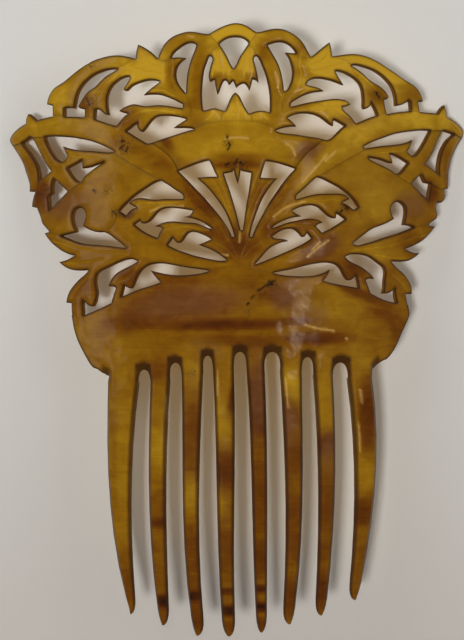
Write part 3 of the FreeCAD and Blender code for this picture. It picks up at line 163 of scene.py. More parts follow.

# Painted glints: pale strokes drawn where ridges would catch the light; and black cracks. Both as
# polylines.
GLINT_LINES = [
    [(-3.6, 64.4), (0.0, 64.7), (3.4, 64.3)], [(14.4, 62.8), (16.2, 61.6), (17.2, 59.2)],
    [(-7.8, 73.2), (-6.4, 72.4), (-5.2, 70.4)], [(5.0, 73.4), (6.6, 72.6), (7.4, 70.6)],
    [(1.2, 75.4), (2.4, 72.6), (2.8, 70.2)], [(27.0, 59.6), (23.6, 55.6), (19.2, 51.0)],
    [(29.6, 60.4), (26.4, 57.6)], [(17.4, 78.4), (19.6, 79.2), (22.4, 80.4)],
    [(11.6, 84.2), (12.6, 81.6), (12.2, 79.4)], [(13.6, 83.0), (14.2, 80.4)],
    [(-14.2, 95.6), (-12.4, 95.2)], [(20.4, 28.6), (23.6, 31.2), (27.2, 33.6)],
    [(22.0, 30.8), (24.4, 33.2)], [(19.4, 8.2), (22.4, 7.2), (28.4, 6.2)],
    [(-26.4, 43.2), (-22.0, 44.6), (-16.4, 44.4)],
    [(-12.4, 39.2), (-9.0, 37.2)], [(10.4, 40.8), (14.4, 43.6), (20.2, 45.4)],
    [(6.0, 39.4), (8.6, 43.8)], [(-3.0, 36.8), (-5.4, 41.4)], [(0.4, 36.6), (0.2, 33.2)],
    [(-8.4, 29.8), (-3.2, 29.4)], [(35.8, -22.0), (36.2, -31.0)], [(36.4, -12.0), (36.6, -16.0)],
    [(-4.4, 90.2), (-4.0, 86.4)], [(4.6, 84.6), (4.2, 81.8)], [(32.0, 3.9), (32.5, 3.6)],
    [(13.2, -8.0), (14.0, -17.0)], [(-6.8, -5.0), (-7.2, -13.0)], [(-22.6, -13.0), (-22.8, -20.0)],
]
CRACKS = [
    [(5.4, 18.6), (7.0, 19.6), (8.4, 20.6), (10.6, 21.6)], [(8.2, 20.0), (10.0, 20.6)],
    [(8.8, 21.4), (9.8, 20.2)], [(3.4, 16.4), (4.2, 17.2)], [(2.2, 14.6), (2.8, 15.0)],
    [(-2.8, 61.2), (-2.2, 62.4), (-2.6, 63.4)], [(-3.0, 64.6), (-2.8, 65.2)],
    [(-36.0, 62.4), (-34.8, 63.4)], [(-34.0, 61.6), (-33.2, 62.8)], [(-35.2, 64.6), (-34.6, 65.0)],
    [(-0.9, 56.8), (-0.2, 57.6)], [(0.8, 57.2), (1.4, 56.6)], [(-3.6, 56.4), (-2.6, 57.0)],
    [(-46.6, 78.6), (-45.6, 76.4)], [(-38.4, 43.6), (-37.4, 42.6)], [(32.0, 44.8), (33.4, 43.2)],
    [(43.2, 79.0), (44.2, 77.4)], [(31.4, 42.6), (30.6, 41.6)], [(69.4, 54.2), (70.2, 52.6)],
    [(-44.8, 50.4), (-44.0, 49.6)], [(62.8, 51.8), (61.6, 50.4)],
]


# ---------------------------------------------------------------- mottling, with painted shade and painted sheen

# Clouds of lighter and darker shell, as (s, z, half length, half height, turn in degrees, tone):
# tone 0 is nearly black brown, 0.5 amber brown and 1 clear yellow honey.
# Later clouds lie over earlier ones.
CLOUDS = [
    # crown
    (0, 97, 9, 4, 0, 0.96), (-27, 85, 9, 5, 0, 0.94), (-16, 94, 7, 3, 10, 0.62),
    (-11, 82, 2.6, 12, -4, 0.48), (-12, 73, 4, 4, 0, 0.46), (-20, 79, 4, 3, 0, 0.70),
    (-19, 85, 2.2, 5, 0, 0.46), (-45, 88, 9, 3, 25, 0.66), (-57, 79, 5, 4, 0, 0.86),
    (-47, 77, 4, 3.5, 0, 0.40), (-41, 79, 3, 5, 0, 0.60), (-34, 71.5, 5, 3.5, 0, 0.42),
    (-22, 73, 7, 2, 0, 0.78), (-4, 87, 3.4, 5, 0, 0.90), (4, 87, 3.4, 5, 0, 0.92),
    (-5, 82.5, 3, 2, 0, 0.50), (5, 82.5, 3, 2, 0, 0.52), (0, 72, 12, 3.5, 0, 0.92),
    (9, 90, 3, 3, 0, 0.44), (14, 95, 6, 2.6, -10, 0.68), (20, 91, 3, 3, 0, 0.56),
    (11, 80, 2.4, 11, 4, 0.62), (20, 84, 3, 6, 0, 0.66), (28, 87, 7, 4, 0, 1.05),
    (25, 81, 6, 2, 0, 0.92), (30, 74, 8, 3.4, 0, 0.94), (18, 76, 4, 3, 0, 0.60),
    (44, 88, 11, 4, -25, 1.20), (56, 79, 5, 4, 0, 0.60), (44, 78, 4, 3, 0, 0.44),
    # straps, arch and scrolls
    (-60, 71, 16, 3.4, 0, 0.76), (60, 71, 20, 4, 0, 0.90), (38, 67, 9, 4, 30, 0.92),
    (-34, 64, 6, 3, -25, 0.56), (-24, 58, 9, 3.6, -48, 0.58), (-20, 62.5, 7, 1.6, -48, 0.34),
    (3, 62, 17, 4.5, 0, 0.86), (0, 58.4, 9, 2, 0, 0.52),
    (-14, 61, 6, 4, 0, 0.84), (22, 60.5, 6, 3.4, 0, 0.50), (16, 62, 3, 3, 0, 0.78),
    (30, 61, 9, 3, 40, 0.84), (23, 54, 8, 2.8, 46, 0.84), (40, 54, 9, 6, 0, 0.76),
    (-55, 47, 9, 6, 0, 0.55), (-36, 54, 9, 5, 0, 0.68), (-45, 41, 9, 3, 0, 0.74),
    (56, 44, 7, 5, 0, 0.64), (43, 45, 7, 5, 0, 0.86), (62, 49, 4, 4, 0, 0.36),
    (-64, 50, 4, 5, 0, 0.36),
    (-70, 58, 5, 6, 0, 0.56), (70, 60, 4, 8, 0, 0.56), (-50, 61, 8, 2.5, 0, 0.72),
    (50, 61, 8, 2.5, 0, 0.72), (62, 62, 3, 7, -35, 0.66), (-61, 62, 3, 7, 35, 0.62),
    # fan, stems and inner leaves
    (-11, 46, 3, 8, 38, 0.36), (-6, 37, 6, 3, 0, 0.46), (0, 32, 6, 4, 0, 0.44),
    (11, 46, 3, 8, -38, 0.52), (9, 37, 5, 3, 0, 0.50), (-6, 49, 3, 6, 20, 0.72),
    (6, 48, 2.6, 7, -18, 0.52), (-26, 45.5, 6, 3, 0, 0.80), (-34, 43, 2.5, 2, 0, 0.38),
    (26, 46, 7, 2.4, 0, 0.72), (34, 44.5, 3, 2, 0, 0.48), (-20, 38, 5, 2, 0, 0.76),
    (20, 38, 5, 2, 0, 0.50), (0, 56.5, 9, 1.2, 0, 0.40),
    # lower branches and leaves
    (-50, 32, 11, 4, 0, 0.74), (-26, 31, 10, 3, -18, 0.78), (-10, 27, 7, 1.6, 0, 0.80),
    (24, 31, 8, 3.4, 30, 0.44), (13, 27, 6, 2, 20, 0.78), (43, 30, 9, 4, 0, 0.88),
    (55, 33, 6, 3, 0, 0.56), (-50, 21, 4, 5, 0, 0.66), (50, 21, 4, 6, 0, 0.74),
    (-33, 24, 4, 3, 0, 0.50), (34, 25, 5, 3, 0, 0.50),
    # band
    (-46, 7, 8, 6, 20, 0.82), (-33, 10, 11, 3.6, 12, 0.44), (-18, 15, 16, 5, 0, 0.52),
    (-20, 22, 10, 2.2, 0, 0.60), (-18, 4.5, 16, 2.2, 0, 0.68), (-6, 8.6, 20, 1.8, 0, 0.34),
    (14, 9.4, 9, 1.2, 0, 0.40), (4, 19, 5, 4, 0, 0.66), (9, 12.5, 8, 2.8, 0, 0.76),
    (12, 17, 5, 3, -30, 0.46), (25, 20, 7, 3, -8, 0.84), (29, 13, 9, 5, 0, 0.88),
    (38, 17, 12, 1.6, -24, 0.48), (47, 10, 8, 2, -24, 0.52), (38, 8, 9, 3, 0, 0.76),
    (23, 4, 10, 2, 0, 0.36), (44, 3, 7, 4, 0, 0.72), (50, 4, 4, 5, 30, 0.58),
    (4, 3.4, 7, 2, 0, 0.52), (-7, 4, 7, 2, 0, 0.54), (-38, 0, 6, 6, 0, 0.78),
    (-24, -3, 4, 4, 0, 0.64),
    # teeth, left to right
    (-37, -40, 6, 44, 0, 0.82), (-35.5, -72, 4, 12, 0, 0.64), (-39.5, -24, 1.2, 20, 0, 0.70),
    (-25, -6, 4, 3.5, 0, 0.50), (-25, -13, 4, 5, 0, 0.70), (-25, -29, 4, 9, 0, 0.92),
    (-25, -47, 4, 9, 0, 0.62), (-25, -51, 4, 1.6, 0, 0.36), (-26, -64, 4, 9, 0, 0.68),
    (-24, -75, 4, 2.2, 0, 0.27), (-25, -80, 4, 3, 0, 0.62),
    (-15, -6, 4, 5.5, 0, 0.84), (-15, -25, 4, 13, 0, 0.48), (-15.5, -44, 4, 6.5, 0, 0.88),
    (-16, -62, 4, 10, 0, 0.56), (-15, -73, 4, 1.8, 0, 0.27), (-14, -80, 4, 5, 0, 0.52),
    (-3.5, -4, 4, 3.5, 0, 0.78), (-6, -19, 3.4, 9, -8, 0.86), (-2.6, -14, 1.3, 5, -10, 0.40),
    (-4.5, -35, 5, 6, 20, 0.34), (-7, -46, 1.8, 4, 0, 0.84), (-4.5, -59, 5, 9, 0, 0.56),
    (-5, -71.7, 4, 1.1, 0, 0.32), (-4, -77.5, 4, 1.7, 0, 0.25), (-5, -82.5, 4, 2, 0, 0.60),
    (5, -17, 4, 13, 0, 0.36), (5, -42, 4, 13, 0, 0.47), (5, -62, 4, 6, 0, 0.48),
    (5, -71, 4, 1.2, 0, 0.28), (5, -76.5, 4, 1.5, 0, 0.24), (5, -82, 4, 2.5, 0, 0.48),
    (15, -10, 3.4, 6, 10, 0.96), (14, -20, 4, 6, 0, 0.44), (15.5, -32, 4, 8, 0, 0.46),
    (15, -52, 4, 13, 0, 0.54), (14.5, -74, 4, 6, 0, 0.52),
    (25.5, -13, 3.2, 11, 3, 0.86), (25.5, -28, 4, 4, 0, 0.38), (25, -46, 4, 14, 0, 0.52),
    (24, -62, 4, 7, 0, 0.60), (23, -72, 4, 5, 0, 0.44),
    (37, -3, 4, 5, 0, 0.80), (38.8, -20, 3.4, 11.5, 0, 0.38), (34.8, -22, 0.8, 12, 4, 0.74),
    (38, -37, 5, 5, 0, 0.84), (37, -49, 5, 4, 15, 0.44), (36, -63, 5, 8, 0, 0.68),
]
CLEAR_TONE = 0.72            # tone where there is no cloud
CLOUD_EDGE = 1.6             # how abruptly a cloud ends; 1 is very soft
# Painted shade: the colour is drawn lighter towards the crown and darker towards the tips, for
# light that falls off towards the bottom.
SHADE_HEIGHTS = (-85, -60, -30, 0, 22, 45, 62, 90)
SHADE_TONES = (-0.22, -0.18, -0.09, -0.13, -0.17, -0.06, 0.0, 0.14)
# Painted sheen: milky, slightly pink patches that stand for a pale reflection in the polish, as
# (s, z, half length, half height, turn).
SHEEN_PATCHES = [
    (-16, 15.5, 17, 5, 3), (13, 16, 5, 4, -30), (22, 11, 5, 4, -30), (25, 31, 6, 2.6, 32),
    (21, 61, 4, 2.6, 0), (5, -12, 2.2, 12, 0), (14, -21, 2.4, 8, 0), (55, 45, 6, 4, 0),
    (-56, 47, 8, 5, 0), (26, -30, 2, 6, 0), (36, 70, 8, 2, 10),
]
# Small dark pits and stained cracks, as (s, z, radius).
STAINS = [
    (-34.5, 63.0, 3.2), (-38.0, 43.0, 2.2), (-2.6, 62.8, 1.8), (9.6, 20.4, 1.9),
    (6.6, 17.6, 1.4), (-62, 51.5, 2.2), (61, 50.5, 2.4), (0.5, 56.2, 3.0), (-44.5, 77.5, 2.2),
    (33.5, 43.5, 2.0), (-33.5, 42.3, 1.6), (2.2, 12.0, 1.2), (-51, 55.0, 1.6), (-45, 88, 1.6),
    (43.5, 78.0, 1.8), (-14.6, -6, 1.4), (-40, 50, 2.0), (31.8, 43.0, 1.5), (70, 53, 2.2),
]


def blob(points, s, z, half_s, half_z, turn):
    """1 in the middle of a soft ellipse, falling to 0 outside."""
    c, n = math.cos(math.radians(turn)), math.sin(math.radians(turn))
    ds, dz = points[:, 0] - s, points[:, 1] - z
    across = (ds * c + dz * n) / half_s
    along = (dz * c - ds * n) / half_z
    return np.exp(-(across ** 2 + along ** 2) ** CLOUD_EDGE)


def tones(points):
    """How light the colour is at each flat point: the shell's mottling plus painted shade by
    height.
    """
    tone = np.full(len(points), CLEAR_TONE)
    for s, z, half_s, half_z, turn, value in CLOUDS:
        tone += (value - tone) * blob(points, s, z, half_s, half_z, turn)
    # Painted shade by height: lighter at the crown, darker at the tips.
    return tone + np.interp(points[:, 1], SHADE_HEIGHTS, SHADE_TONES)


def painted_sheen_amount(points):
    """1 in the middle of a patch of painted sheen, 0 outside all of them."""
    milk = np.zeros(len(points))
    for s, z, half_s, half_z, turn in SHEEN_PATCHES:
        milk = np.maximum(milk, blob(points, s, z, half_s, half_z, turn))
    return milk


def staining(points):
    """1 in the middle of a stain, 0 outside all of them."""
    stain = np.zeros(len(points))
    for s, z, radius in STAINS:
        stain = np.maximum(stain, blob(points, s, z, radius, radius, 0))
    return stain


# ---------------------------------------------------------------- outlines from the CAD plates

def bent(points, radius):
    """Flat points at the given radius, in metres in the row frame."""
    turn = points[:, 0] / BEND
    out = np.empty((len(points), 3))
    out[:, 0] = radius * np.sin(turn)
    out[:, 1] = BEND - radius * np.cos(turn)
    out[:, 2] = points[:, 1]
    return out * MM


def unrolled(node):
    """Welded vertices of a CAD node as (s, z, radius) in mm, with its polygons."""
    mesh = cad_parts[node].data
    co = np.array([v.co for v in mesh.vertices]) / MM
    radius = np.hypot(co[:, 0], BEND - co[:, 1])
    s = np.arctan2(co[:, 0], BEND - co[:, 1]) * BEND
    flat = np.stack([s, co[:, 2], radius], 1)
    keys = {}
    index = np.empty(len(flat), int)
    welded = []
    for i, key in enumerate(map(tuple, np.round(flat, 4))):
        if key not in keys:
            keys[key] = len(welded)
            welded.append(flat[i])
        index[i] = keys[key]
    polygons = [[int(index[v]) for v in p.vertices] for p in mesh.polygons]
    return np.array(welded), polygons


def front_outline(node):
    """The closed outline of a plate's front face, anticlockwise."""
    flat, polygons = unrolled(node)
    front = flat[:, 2] > FRONT - SKIN_TOLERANCE
    following = {}
    used = set()
    for polygon in polygons:
        if all(front[v] for v in polygon):
            for a, b in zip(polygon, polygon[1:] + polygon[:1]):
                used.add((a, b))
    for a, b in used:
        if (b, a) not in used:
            following[a] = b
    start = min(following)
    loop = [start]
    while following[loop[-1]] != start:
        loop.append(following[loop[-1]])
    points = flat[loop][:, :2]
    s, z = points[:, 0], points[:, 1]
    area = np.sum(s * np.roll(z, -1) - np.roll(s, -1) * z)
    return points if area > 0 else points[::-1].copy()


def resampled(points, step):
    """Same outline, with its corners kept and its stretches divided evenly."""
    before = points - np.roll(points, 1, 0)
    after = np.roll(points, -1, 0) - points
    turn = np.abs(np.arctan2(
        before[:, 0] * after[:, 1] - before[:, 1] * after[:, 0], np.sum(before * after, 1)))
    corners = np.where(turn > CORNER_ANGLE)[0]
    if len(corners) < 2:
        corners = np.array([0, len(points) // 2])
    out = []
    for a, b in zip(corners, np.roll(corners, -1)):
        b = b if b > a else b + len(points)
        run = points[np.arange(a, b + 1) % len(points)]
        length = np.concatenate([[0], np.cumsum(np.linalg.norm(np.diff(run, axis=0), axis=1))])
        count = max(1, int(round(length[-1] / step)))
        at = np.linspace(0, length[-1], count + 1)[:-1]
        out.append(np.stack([np.interp(at, length, run[:, k]) for k in (0, 1)], 1))
    return np.concatenate(out)


def tree_of(points):
    """Search tree over flat points."""
    tree = KDTree(len(points))
    for i, p in enumerate(points):
        tree.insert((p[0], p[1], 0), i)
    tree.balance()
    return tree


def distances(points, tree):
    """How far each flat point is from the nearest point of a tree."""
    return np.array([tree.find((p[0], p[1], 0))[2] for p in points])


def densely(points, closed=True):
    """Points close together along a polyline."""
    ends = np.roll(points, -1, 0) if closed else points[1:]
    starts = points if closed else points[:-1]
    out = []
    for a, b in zip(starts, ends):
        count = max(1, int(math.ceil(np.linalg.norm(b - a) / TRACE_STEP)))
        t = np.arange(count)[:, None] / count
        out.append(a + (b - a) * t)
    return np.concatenate(out)


def inside(points, loop):
    """Which points lie inside a closed outline."""
    result = np.zeros(len(points), bool)
    for a, b in zip(loop, np.roll(loop, -1, 0)):
        if a[1] == b[1]:
            continue
        crosses = (points[:, 1] < a[1]) != (points[:, 1] < b[1])
        at = a[0] + (points[:, 1] - a[1]) * (b[0] - a[0]) / (b[1] - a[1])
        result ^= crosses & (points[:, 0] < at)
    return result


def curved(points, step=0.3):
    """A smooth polyline through a few points."""
    points = np.array(points, float)
    padded = np.vstack([2 * points[0] - points[1], points, 2 * points[-1] - points[-2]])
    out = []
    for p0, p1, p2, p3 in zip(padded, padded[1:], padded[2:], padded[3:]):
        count = max(2, int(np.linalg.norm(p2 - p1) / step))
        for t in np.arange(count) / count:
            out.append(0.5 * (2 * p1 + (p2 - p0) * t + (2 * p0 - 5 * p1 + 4 * p2 - p3) * t * t
                              + (3 * p1 - p0 - 3 * p2 + p3) * t ** 3))
    out.append(points[-1])
    return np.array(out)


teeth = sorted(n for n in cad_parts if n.startswith("tooth"))
plates = sorted(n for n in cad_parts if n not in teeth)
outlines = {n: resampled(front_outline(n), EDGE_STEP) for n in plates}


def line_tree(lines):
    """Search tree over open polylines."""
    return tree_of(np.concatenate([densely(line, False) for line in lines]))


veins = [curved(v) for v in MIDDLE_VEINS + SIDE_VEINS]
veins += [curved([(-s, z) for s, z in v]) for v in SIDE_VEINS]
glint_lines = [curved(v) for v in GLINT_LINES]
cracks = [curved(v) for v in CRACKS]
vein_tree = line_tree(veins)
glint_tree = line_tree(glint_lines)
crack_tree = line_tree(cracks)


def beside(line, gap):
    """The same line moved sideways."""
    along = np.gradient(line, axis=0)
    across = np.stack([-along[:, 1], along[:, 0]], 1)
    return line + gap * across / (np.linalg.norm(across, axis=1)[:, None] + 1e-12)


stroke_points = np.concatenate(
    [beside(line, gap) for line in veins + glint_lines + cracks for gap in STROKE_GAPS])


def tooth_root(node):
    """Left end, right end and height of the straight line where a tooth leaves the band."""
    flat, _ = unrolled(node)
    top = flat[:, 1].max()
    row = flat[flat[:, 1] > top - 0.01]
    return row[:, 0].min(), row[:, 0].max(), top


roots = [tooth_root(n) for n in teeth]


def on_a_root(p):
    """Whether a point of the band's outline lies where a tooth leaves it."""
    return any(abs(p[1] - z) < 0.06 and a - 0.1 < p[0] < b + 0.1 for a, b, z in roots)


def shared_edges():
    """For every plate, its outline samples split into free edge and edge held by a neighbour."""
    dense = {n: densely(outlines[n]) for n in plates}
    labels = np.concatenate([np.full(len(dense[n]), i) for i, n in enumerate(plates)])
    tree = tree_of(np.concatenate([dense[n] for n in plates]))
    free, held = {}, {}
    for i, n in enumerate(plates):
        neighbour = np.full(len(dense[n]), -1)
        for k, p in enumerate(dense[n]):
            for _, index, _ in tree.find_range((p[0], p[1], 0), TOUCHING):
                if labels[index] != i:
                    neighbour[k] = labels[index]
                    break
            if n == "heading_band" and on_a_root(p):
                neighbour[k] = len(plates)
        free[n] = dense[n][neighbour < 0]
        held[n] = [(p, plates[m]) for p, m in zip(dense[n], neighbour) if 0 <= m < len(plates)]
    return free, held


free_edges, held_edges = shared_edges()
free_tree = tree_of(np.concatenate([free_edges[n] for n in plates]))
band_edge = free_edges["heading_band"]
slot_edge = np.array([p for p in band_edge if p[1] < SLOT_TOP and abs(p[0]) < SLOT_SPAN])
slot_tree = tree_of(slot_edge * (1.0, 1.0 / SCOOP_RISE))


# ---------------------------------------------------------------- relief

def fall(distance, shape, power=2.0):
    """Depth that is full at distance 0 and gone at the shape's width."""
    width, depth = shape
    return depth * np.clip(1.0 - distance / width, 0.0, 1.0) ** power


def scoop(points):
    """Dressed hollow round the slots, which runs down the sides of every tooth."""
    stretched = points * (1.0, 1.0 / SCOOP_RISE)
    return fall(distances(stretched, slot_tree), SCOOP, 1.15)


def slot_top_shade(points):
    """Painted shade: a squared dark patch at the top of each slot, where the saw cut ends."""
    overhang, side_fade = 0.75, 0.35        # past the slot's sides
    height, taper, top_fade = 2.5, 0.16, 0.45
    down = 4.0                              # how far it fades down beside the slot
    cap = np.zeros(len(points))
    for (_, left, _), (right, _, _) in zip(roots, roots[1:]):
        top = slot_edge[(slot_edge[:, 0] > left) & (slot_edge[:, 0] < right), 1].max()
        away = np.abs(points[:, 0] - 0.5 * (left + right))
        sides = np.clip((0.5 * (right - left) + overhang - away) / side_fade, 0.0, 1.0)
        rise = np.clip((top + height - taper * away - points[:, 1]) / top_fade, 0.0, 1.0)
        fade = np.clip((points[:, 1] - top + down) / down, 0.0, 1.0)
        cap = np.maximum(cap, sides * rise * fade)
    return cap


def seam_shadow(away):
    """Darkening beside the edge of an overlying motif."""
    return sum(strength * np.exp(-away / reach) for strength, reach in SEAM_DARK)


def relief(node, points):
    """Depth below the front skin in mm, and how strongly the colour is darkened there by painted
    shade and edge grime.
    """
    to_edge = distances(points, free_tree)
    depth = fall(to_edge, EDGE_BEVEL)
    # Dark edge colour along free edges: grime in the saw cuts, and painted shade where light is
    # absorbed through the sheet.
    dark = EDGE_DARK * np.clip((EDGE_DARK_END - to_edge) / EDGE_DARK_FADE, 0.0, 1.0)
    if node == "heading_band":
        hollow = scoop(points)
        depth = np.maximum(depth, hollow)
        # Painted shade in the dressed hollow round the slots, darker where it is deeper.
        dark = np.maximum(dark, SLOT_DARK * np.clip(hollow / SLOT_DARK_DEPTH, 0, 1) ** 1.3)
        # Painted shade at the top of each slot.
        dark = np.maximum(dark, CAP_DARK * slot_top_shade(points))
    else:
        depth = depth + fall(to_edge, PILLOW)
        depth = np.maximum(depth, fall(distances(points, vein_tree), VEIN, 1.3))
    for over in sorted({other for _, other in held_edges[node]}):
        bold = BOLDNESS.get((plain_name(over), plain_name(node)), 0.0)
        if bold:
            seam = np.array([p for p, other in held_edges[node] if other == over])
            away = distances(points, tree_of(seam))
            depth = np.maximum(depth, bold * fall(away, UNDERLAP, 1.6))
            dark = np.maximum(dark, bold * seam_shadow(away))
    return np.clip(depth, 0.0, SHEET * 0.5), dark


# ---------------------------------------------------------------- meshes

def thinned(points, gap):
    """Drop points that crowd an earlier one."""
    cells = {}
    kept = []
    for p in points:
        cell = (int(math.floor(p[0] / gap)), int(math.floor(p[1] / gap)))
        near = [q for i in (-1, 0, 1) for j in (-1, 0, 1)
                for q in cells.get((cell[0] + i, cell[1] + j), ())]
        if all((p[0] - q[0]) ** 2 + (p[1] - q[1]) ** 2 >= gap * gap for q in near):
            cells.setdefault(cell, []).append(p)
            kept.append(p)
    return np.array(kept).reshape(-1, 2)


def rings_inside(loop, own, rings):
    """Points that follow the outline at each distance inwards."""
    tangent = np.roll(loop, -1, 0) - np.roll(loop, 1, 0)
    inward = np.stack([-tangent[:, 1], tangent[:, 0]], 1)
    inward /= np.linalg.norm(inward, axis=1)[:, None] + 1e-12
    found = []
    for ring in rings:
        candidates = loop + inward * ring
        candidates = candidates[inside(candidates, loop)]
        found.append(candidates[distances(candidates, own) > 0.88 * ring])
    return found


def grid_inside(loop, own, step, clear):
    """An even triangular grid of points that stays clear of the outline."""
    low, high = loop.min(0), loop.max(0)
    rows = np.arange(low[1], high[1], step * math.sqrt(3) / 2)
    grid = np.array([(x + (k % 2) * step / 2, z) for k, z in enumerate(rows)
                     for x in np.arange(low[0], high[0], step)]).reshape(-1, 2)
    grid = grid[inside(grid, loop)]
    return grid[distances(grid, own) > clear]


def filling(loop, step, rings, extra):
    """Points inside an outline: rings that follow it, engraved lines, then an even grid."""
    own = tree_of(densely(loop))
    found = rings_inside(loop, own, rings)
    if len(extra):
        near = extra[inside(extra, loop)]
        found.append(near[distances(near, own) > EDGE_CLEARANCE])
    found.append(grid_inside(loop, own, step, max(rings) + 0.35 * step))
    return thinned(np.concatenate(found), CLOSEST)


def triangulated(loop, interior):
    """Triangles over an outline and the points inside it; border gives the outline's vertices."""
    points = [Vector(p) for p in np.concatenate([loop, interior])]
    result = delaunay_2d_cdt(points, [], [list(range(len(loop)))], 1, 1e-5)
    verts = np.array([tuple(v) for v in result[0]])
    origin = {}
    for new, old in enumerate(result[3]):
        for o in old:
            origin[o] = new
    border = [origin[i] for i in range(len(loop))]
    return verts, [tuple(f) for f in result[2]], border


def add_piece(node, co, faces, values, walls):
    """A closed mesh object that stands for one CAD node; walls is the range of sawn faces."""
    mesh = bpy.data.meshes.new(node + "_looks")
    mesh.from_pydata([tuple(c) for c in co], [], faces)
    for key, data in values.items():
        attribute = mesh.attributes.new(key, "FLOAT", "POINT")
        attribute.data.foreach_set("value", np.asarray(data, np.float32))
    attribute = mesh.attributes.new("cut", "FLOAT", "FACE")
    cut = np.zeros(len(faces), np.float32)
    cut[walls[0]:walls[1]] = 1.0
    attribute.data.foreach_set("value", cut)
    mesh.validate()
    mesh.shade_smooth()
    mesh.set_sharp_from_angle(angle=SHARP_ANGLE)
    mesh.materials.append(shell)
    piece = bpy.data.objects.new(node + "_looks", mesh)
    bpy.context.scene.collection.objects.link(piece)
    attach(piece, "root")
    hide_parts(node)


def lines_near(flat, tree, width):
    """1 on a drawn line, falling to 0 at its width."""
    return np.clip(1.0 - distances(flat, tree) / width, 0.0, 1.0) ** 0.7


def flat_values(flat, depth, dark, vein_highlight=0.0):
    """The attributes that the material reads, for points (s, z)."""
    return {
        # Tone, lifted by the painted highlight along the veins where one is given.
        "tone": tones(flat) + vein_highlight,
        # Painted glints: strokes of painted highlight along the drawn ridges.
        "shine": lines_near(flat, glint_tree, GLINT_WIDTH),
        "crack": lines_near(flat, crack_tree, CRACK_WIDTH),
        # Painted sheen: patches of painted reflection.
        "milk": painted_sheen_amount(flat),
        "stain": staining(flat),
        # dark: painted shade and edge grime, drawn as the dark edge colour.
        "dark": dark,
        "flat_s": flat[:, 0],
        "flat_z": flat[:, 1],
        "flat_d": depth,
    }


def plate_piece(node):
    """A carved plate: relief on the front, dressed edges at the back, sawn walls between."""
    loop = outlines[node]
    front, front_faces, front_border = triangulated(
        loop, filling(loop, GRID_STEP, RINGS, stroke_points))
    back, back_faces, back_border = triangulated(
        loop, filling(loop, BACK_STEP, BACK_RINGS, []))
    depth, dark = relief(node, front)
    back_edge = distances(back, free_tree)
    back_depth = fall(back_edge, BACK_BEVEL, 1.3)
    # The back edges get the same dark edge colour: grime and painted shade.
    back_dark = BACK_EDGE_DARK * np.exp(-back_edge / BACK_EDGE_REACH)
    co = np.concatenate([bent(front, FRONT - depth), bent(back, BACK + back_depth)])
    shift = len(front)
    walls = []
    for i in range(len(loop)):
        j = (i + 1) % len(loop)
        walls.append((front_border[i], shift + back_border[i],
                      shift + back_border[j], front_border[j]))
    faces = list(front_faces) + walls + [tuple(shift + v for v in f[::-1]) for f in back_faces]
    flat = np.concatenate([front, back])
    # The tone is lifted along the veins as a painted highlight.
    values = flat_values(
        flat, np.concatenate([depth, SHEET - back_depth]), np.concatenate([dark, back_dark]),
        VEIN_HIGHLIGHT_TONE * fall(distances(flat, vein_tree), VEIN_HIGHLIGHT))
    add_piece(node, co, faces, values, (len(front_faces), len(front_faces) + len(walls)))


def sliced(flat, edges, z):
    """Least and greatest s and radius where the plane at height z cuts a mesh."""
    a, b = flat[edges[:, 0]], flat[edges[:, 1]]
    crossing = (a[:, 1] - z) * (b[:, 1] - z) <= 0
    a, b = a[crossing], b[crossing]
    rise = b[:, 1] - a[:, 1]
    t = np.where(np.abs(rise) > 1e-9, (z - a[:, 1]) / np.where(rise == 0, 1, rise), 0.5)
    at = a + (b - a) * t[:, None]
    return at[:, 0].min(), at[:, 0].max(), at[:, 2].min(), at[:, 2].max()


def bevel_width(half_width):
    """Width of the dressed bevel along each side of a tooth."""
    return min(SCOOP[0], 0.44 * half_width)


def tooth_profile(half_width, half_depth):
    """Section of a tooth: a flat front with wide dressed bevels, softer at the back."""
    side = bevel_width(half_width)
    drop = min(SCOOP[1], 1.05 * half_depth)
    soft = min(0.5, 0.3 * half_width, 0.45 * half_depth)
    w, h = half_width, half_depth
    across = np.linspace(-(w - side - 0.16), w - side - 0.16, FRONT_POINTS)
    left = [
        (-w, -h + soft), (-w, 0.5 * (h - drop - h + soft)), (-w, h - drop - 0.10),
        (-w + 0.06, h - drop + 0.04), (-w + 0.5 * side, h - 0.5 * drop),
        (-w + side - 0.10, h - 0.09 * drop - 0.02),
    ]
    right = [(-x, y) for x, y in left[::-1]]
    bottom = [(w - soft, -h), (0.0, -h), (-w + soft, -h)]
    return np.array(left + [(x, h) for x in across] + right + bottom)


def tooth_heights(top, tip):
    """Heights of the sections, evenly down the shaft and crowding towards the tip."""
    shaft = np.linspace(top, tip + TIP_RUN, SHAFT_SECTIONS)
    ending = tip + TIP_RUN * (1.0 - np.linspace(0, 1, TIP_SECTIONS)[1:-1]) ** 1.7
    heights = np.concatenate([shaft, ending])
    heights[0] -= 1e-3
    return heights


def lofted(count, sections):
    """Faces of a closed loft whose last vertex is the point at the tip."""
    faces = []
    for k in range(sections - 1):
        for i in range(count):
            j = (i + 1) % count
            faces.append((k * count + i, (k + 1) * count + i, (k + 1) * count + j, k * count + j))
    faces.append(tuple(range(count)))
    last = (sections - 1) * count
    for i in range(count):
        faces.append((last + i, sections * count, last + (i + 1) % count))
    return faces


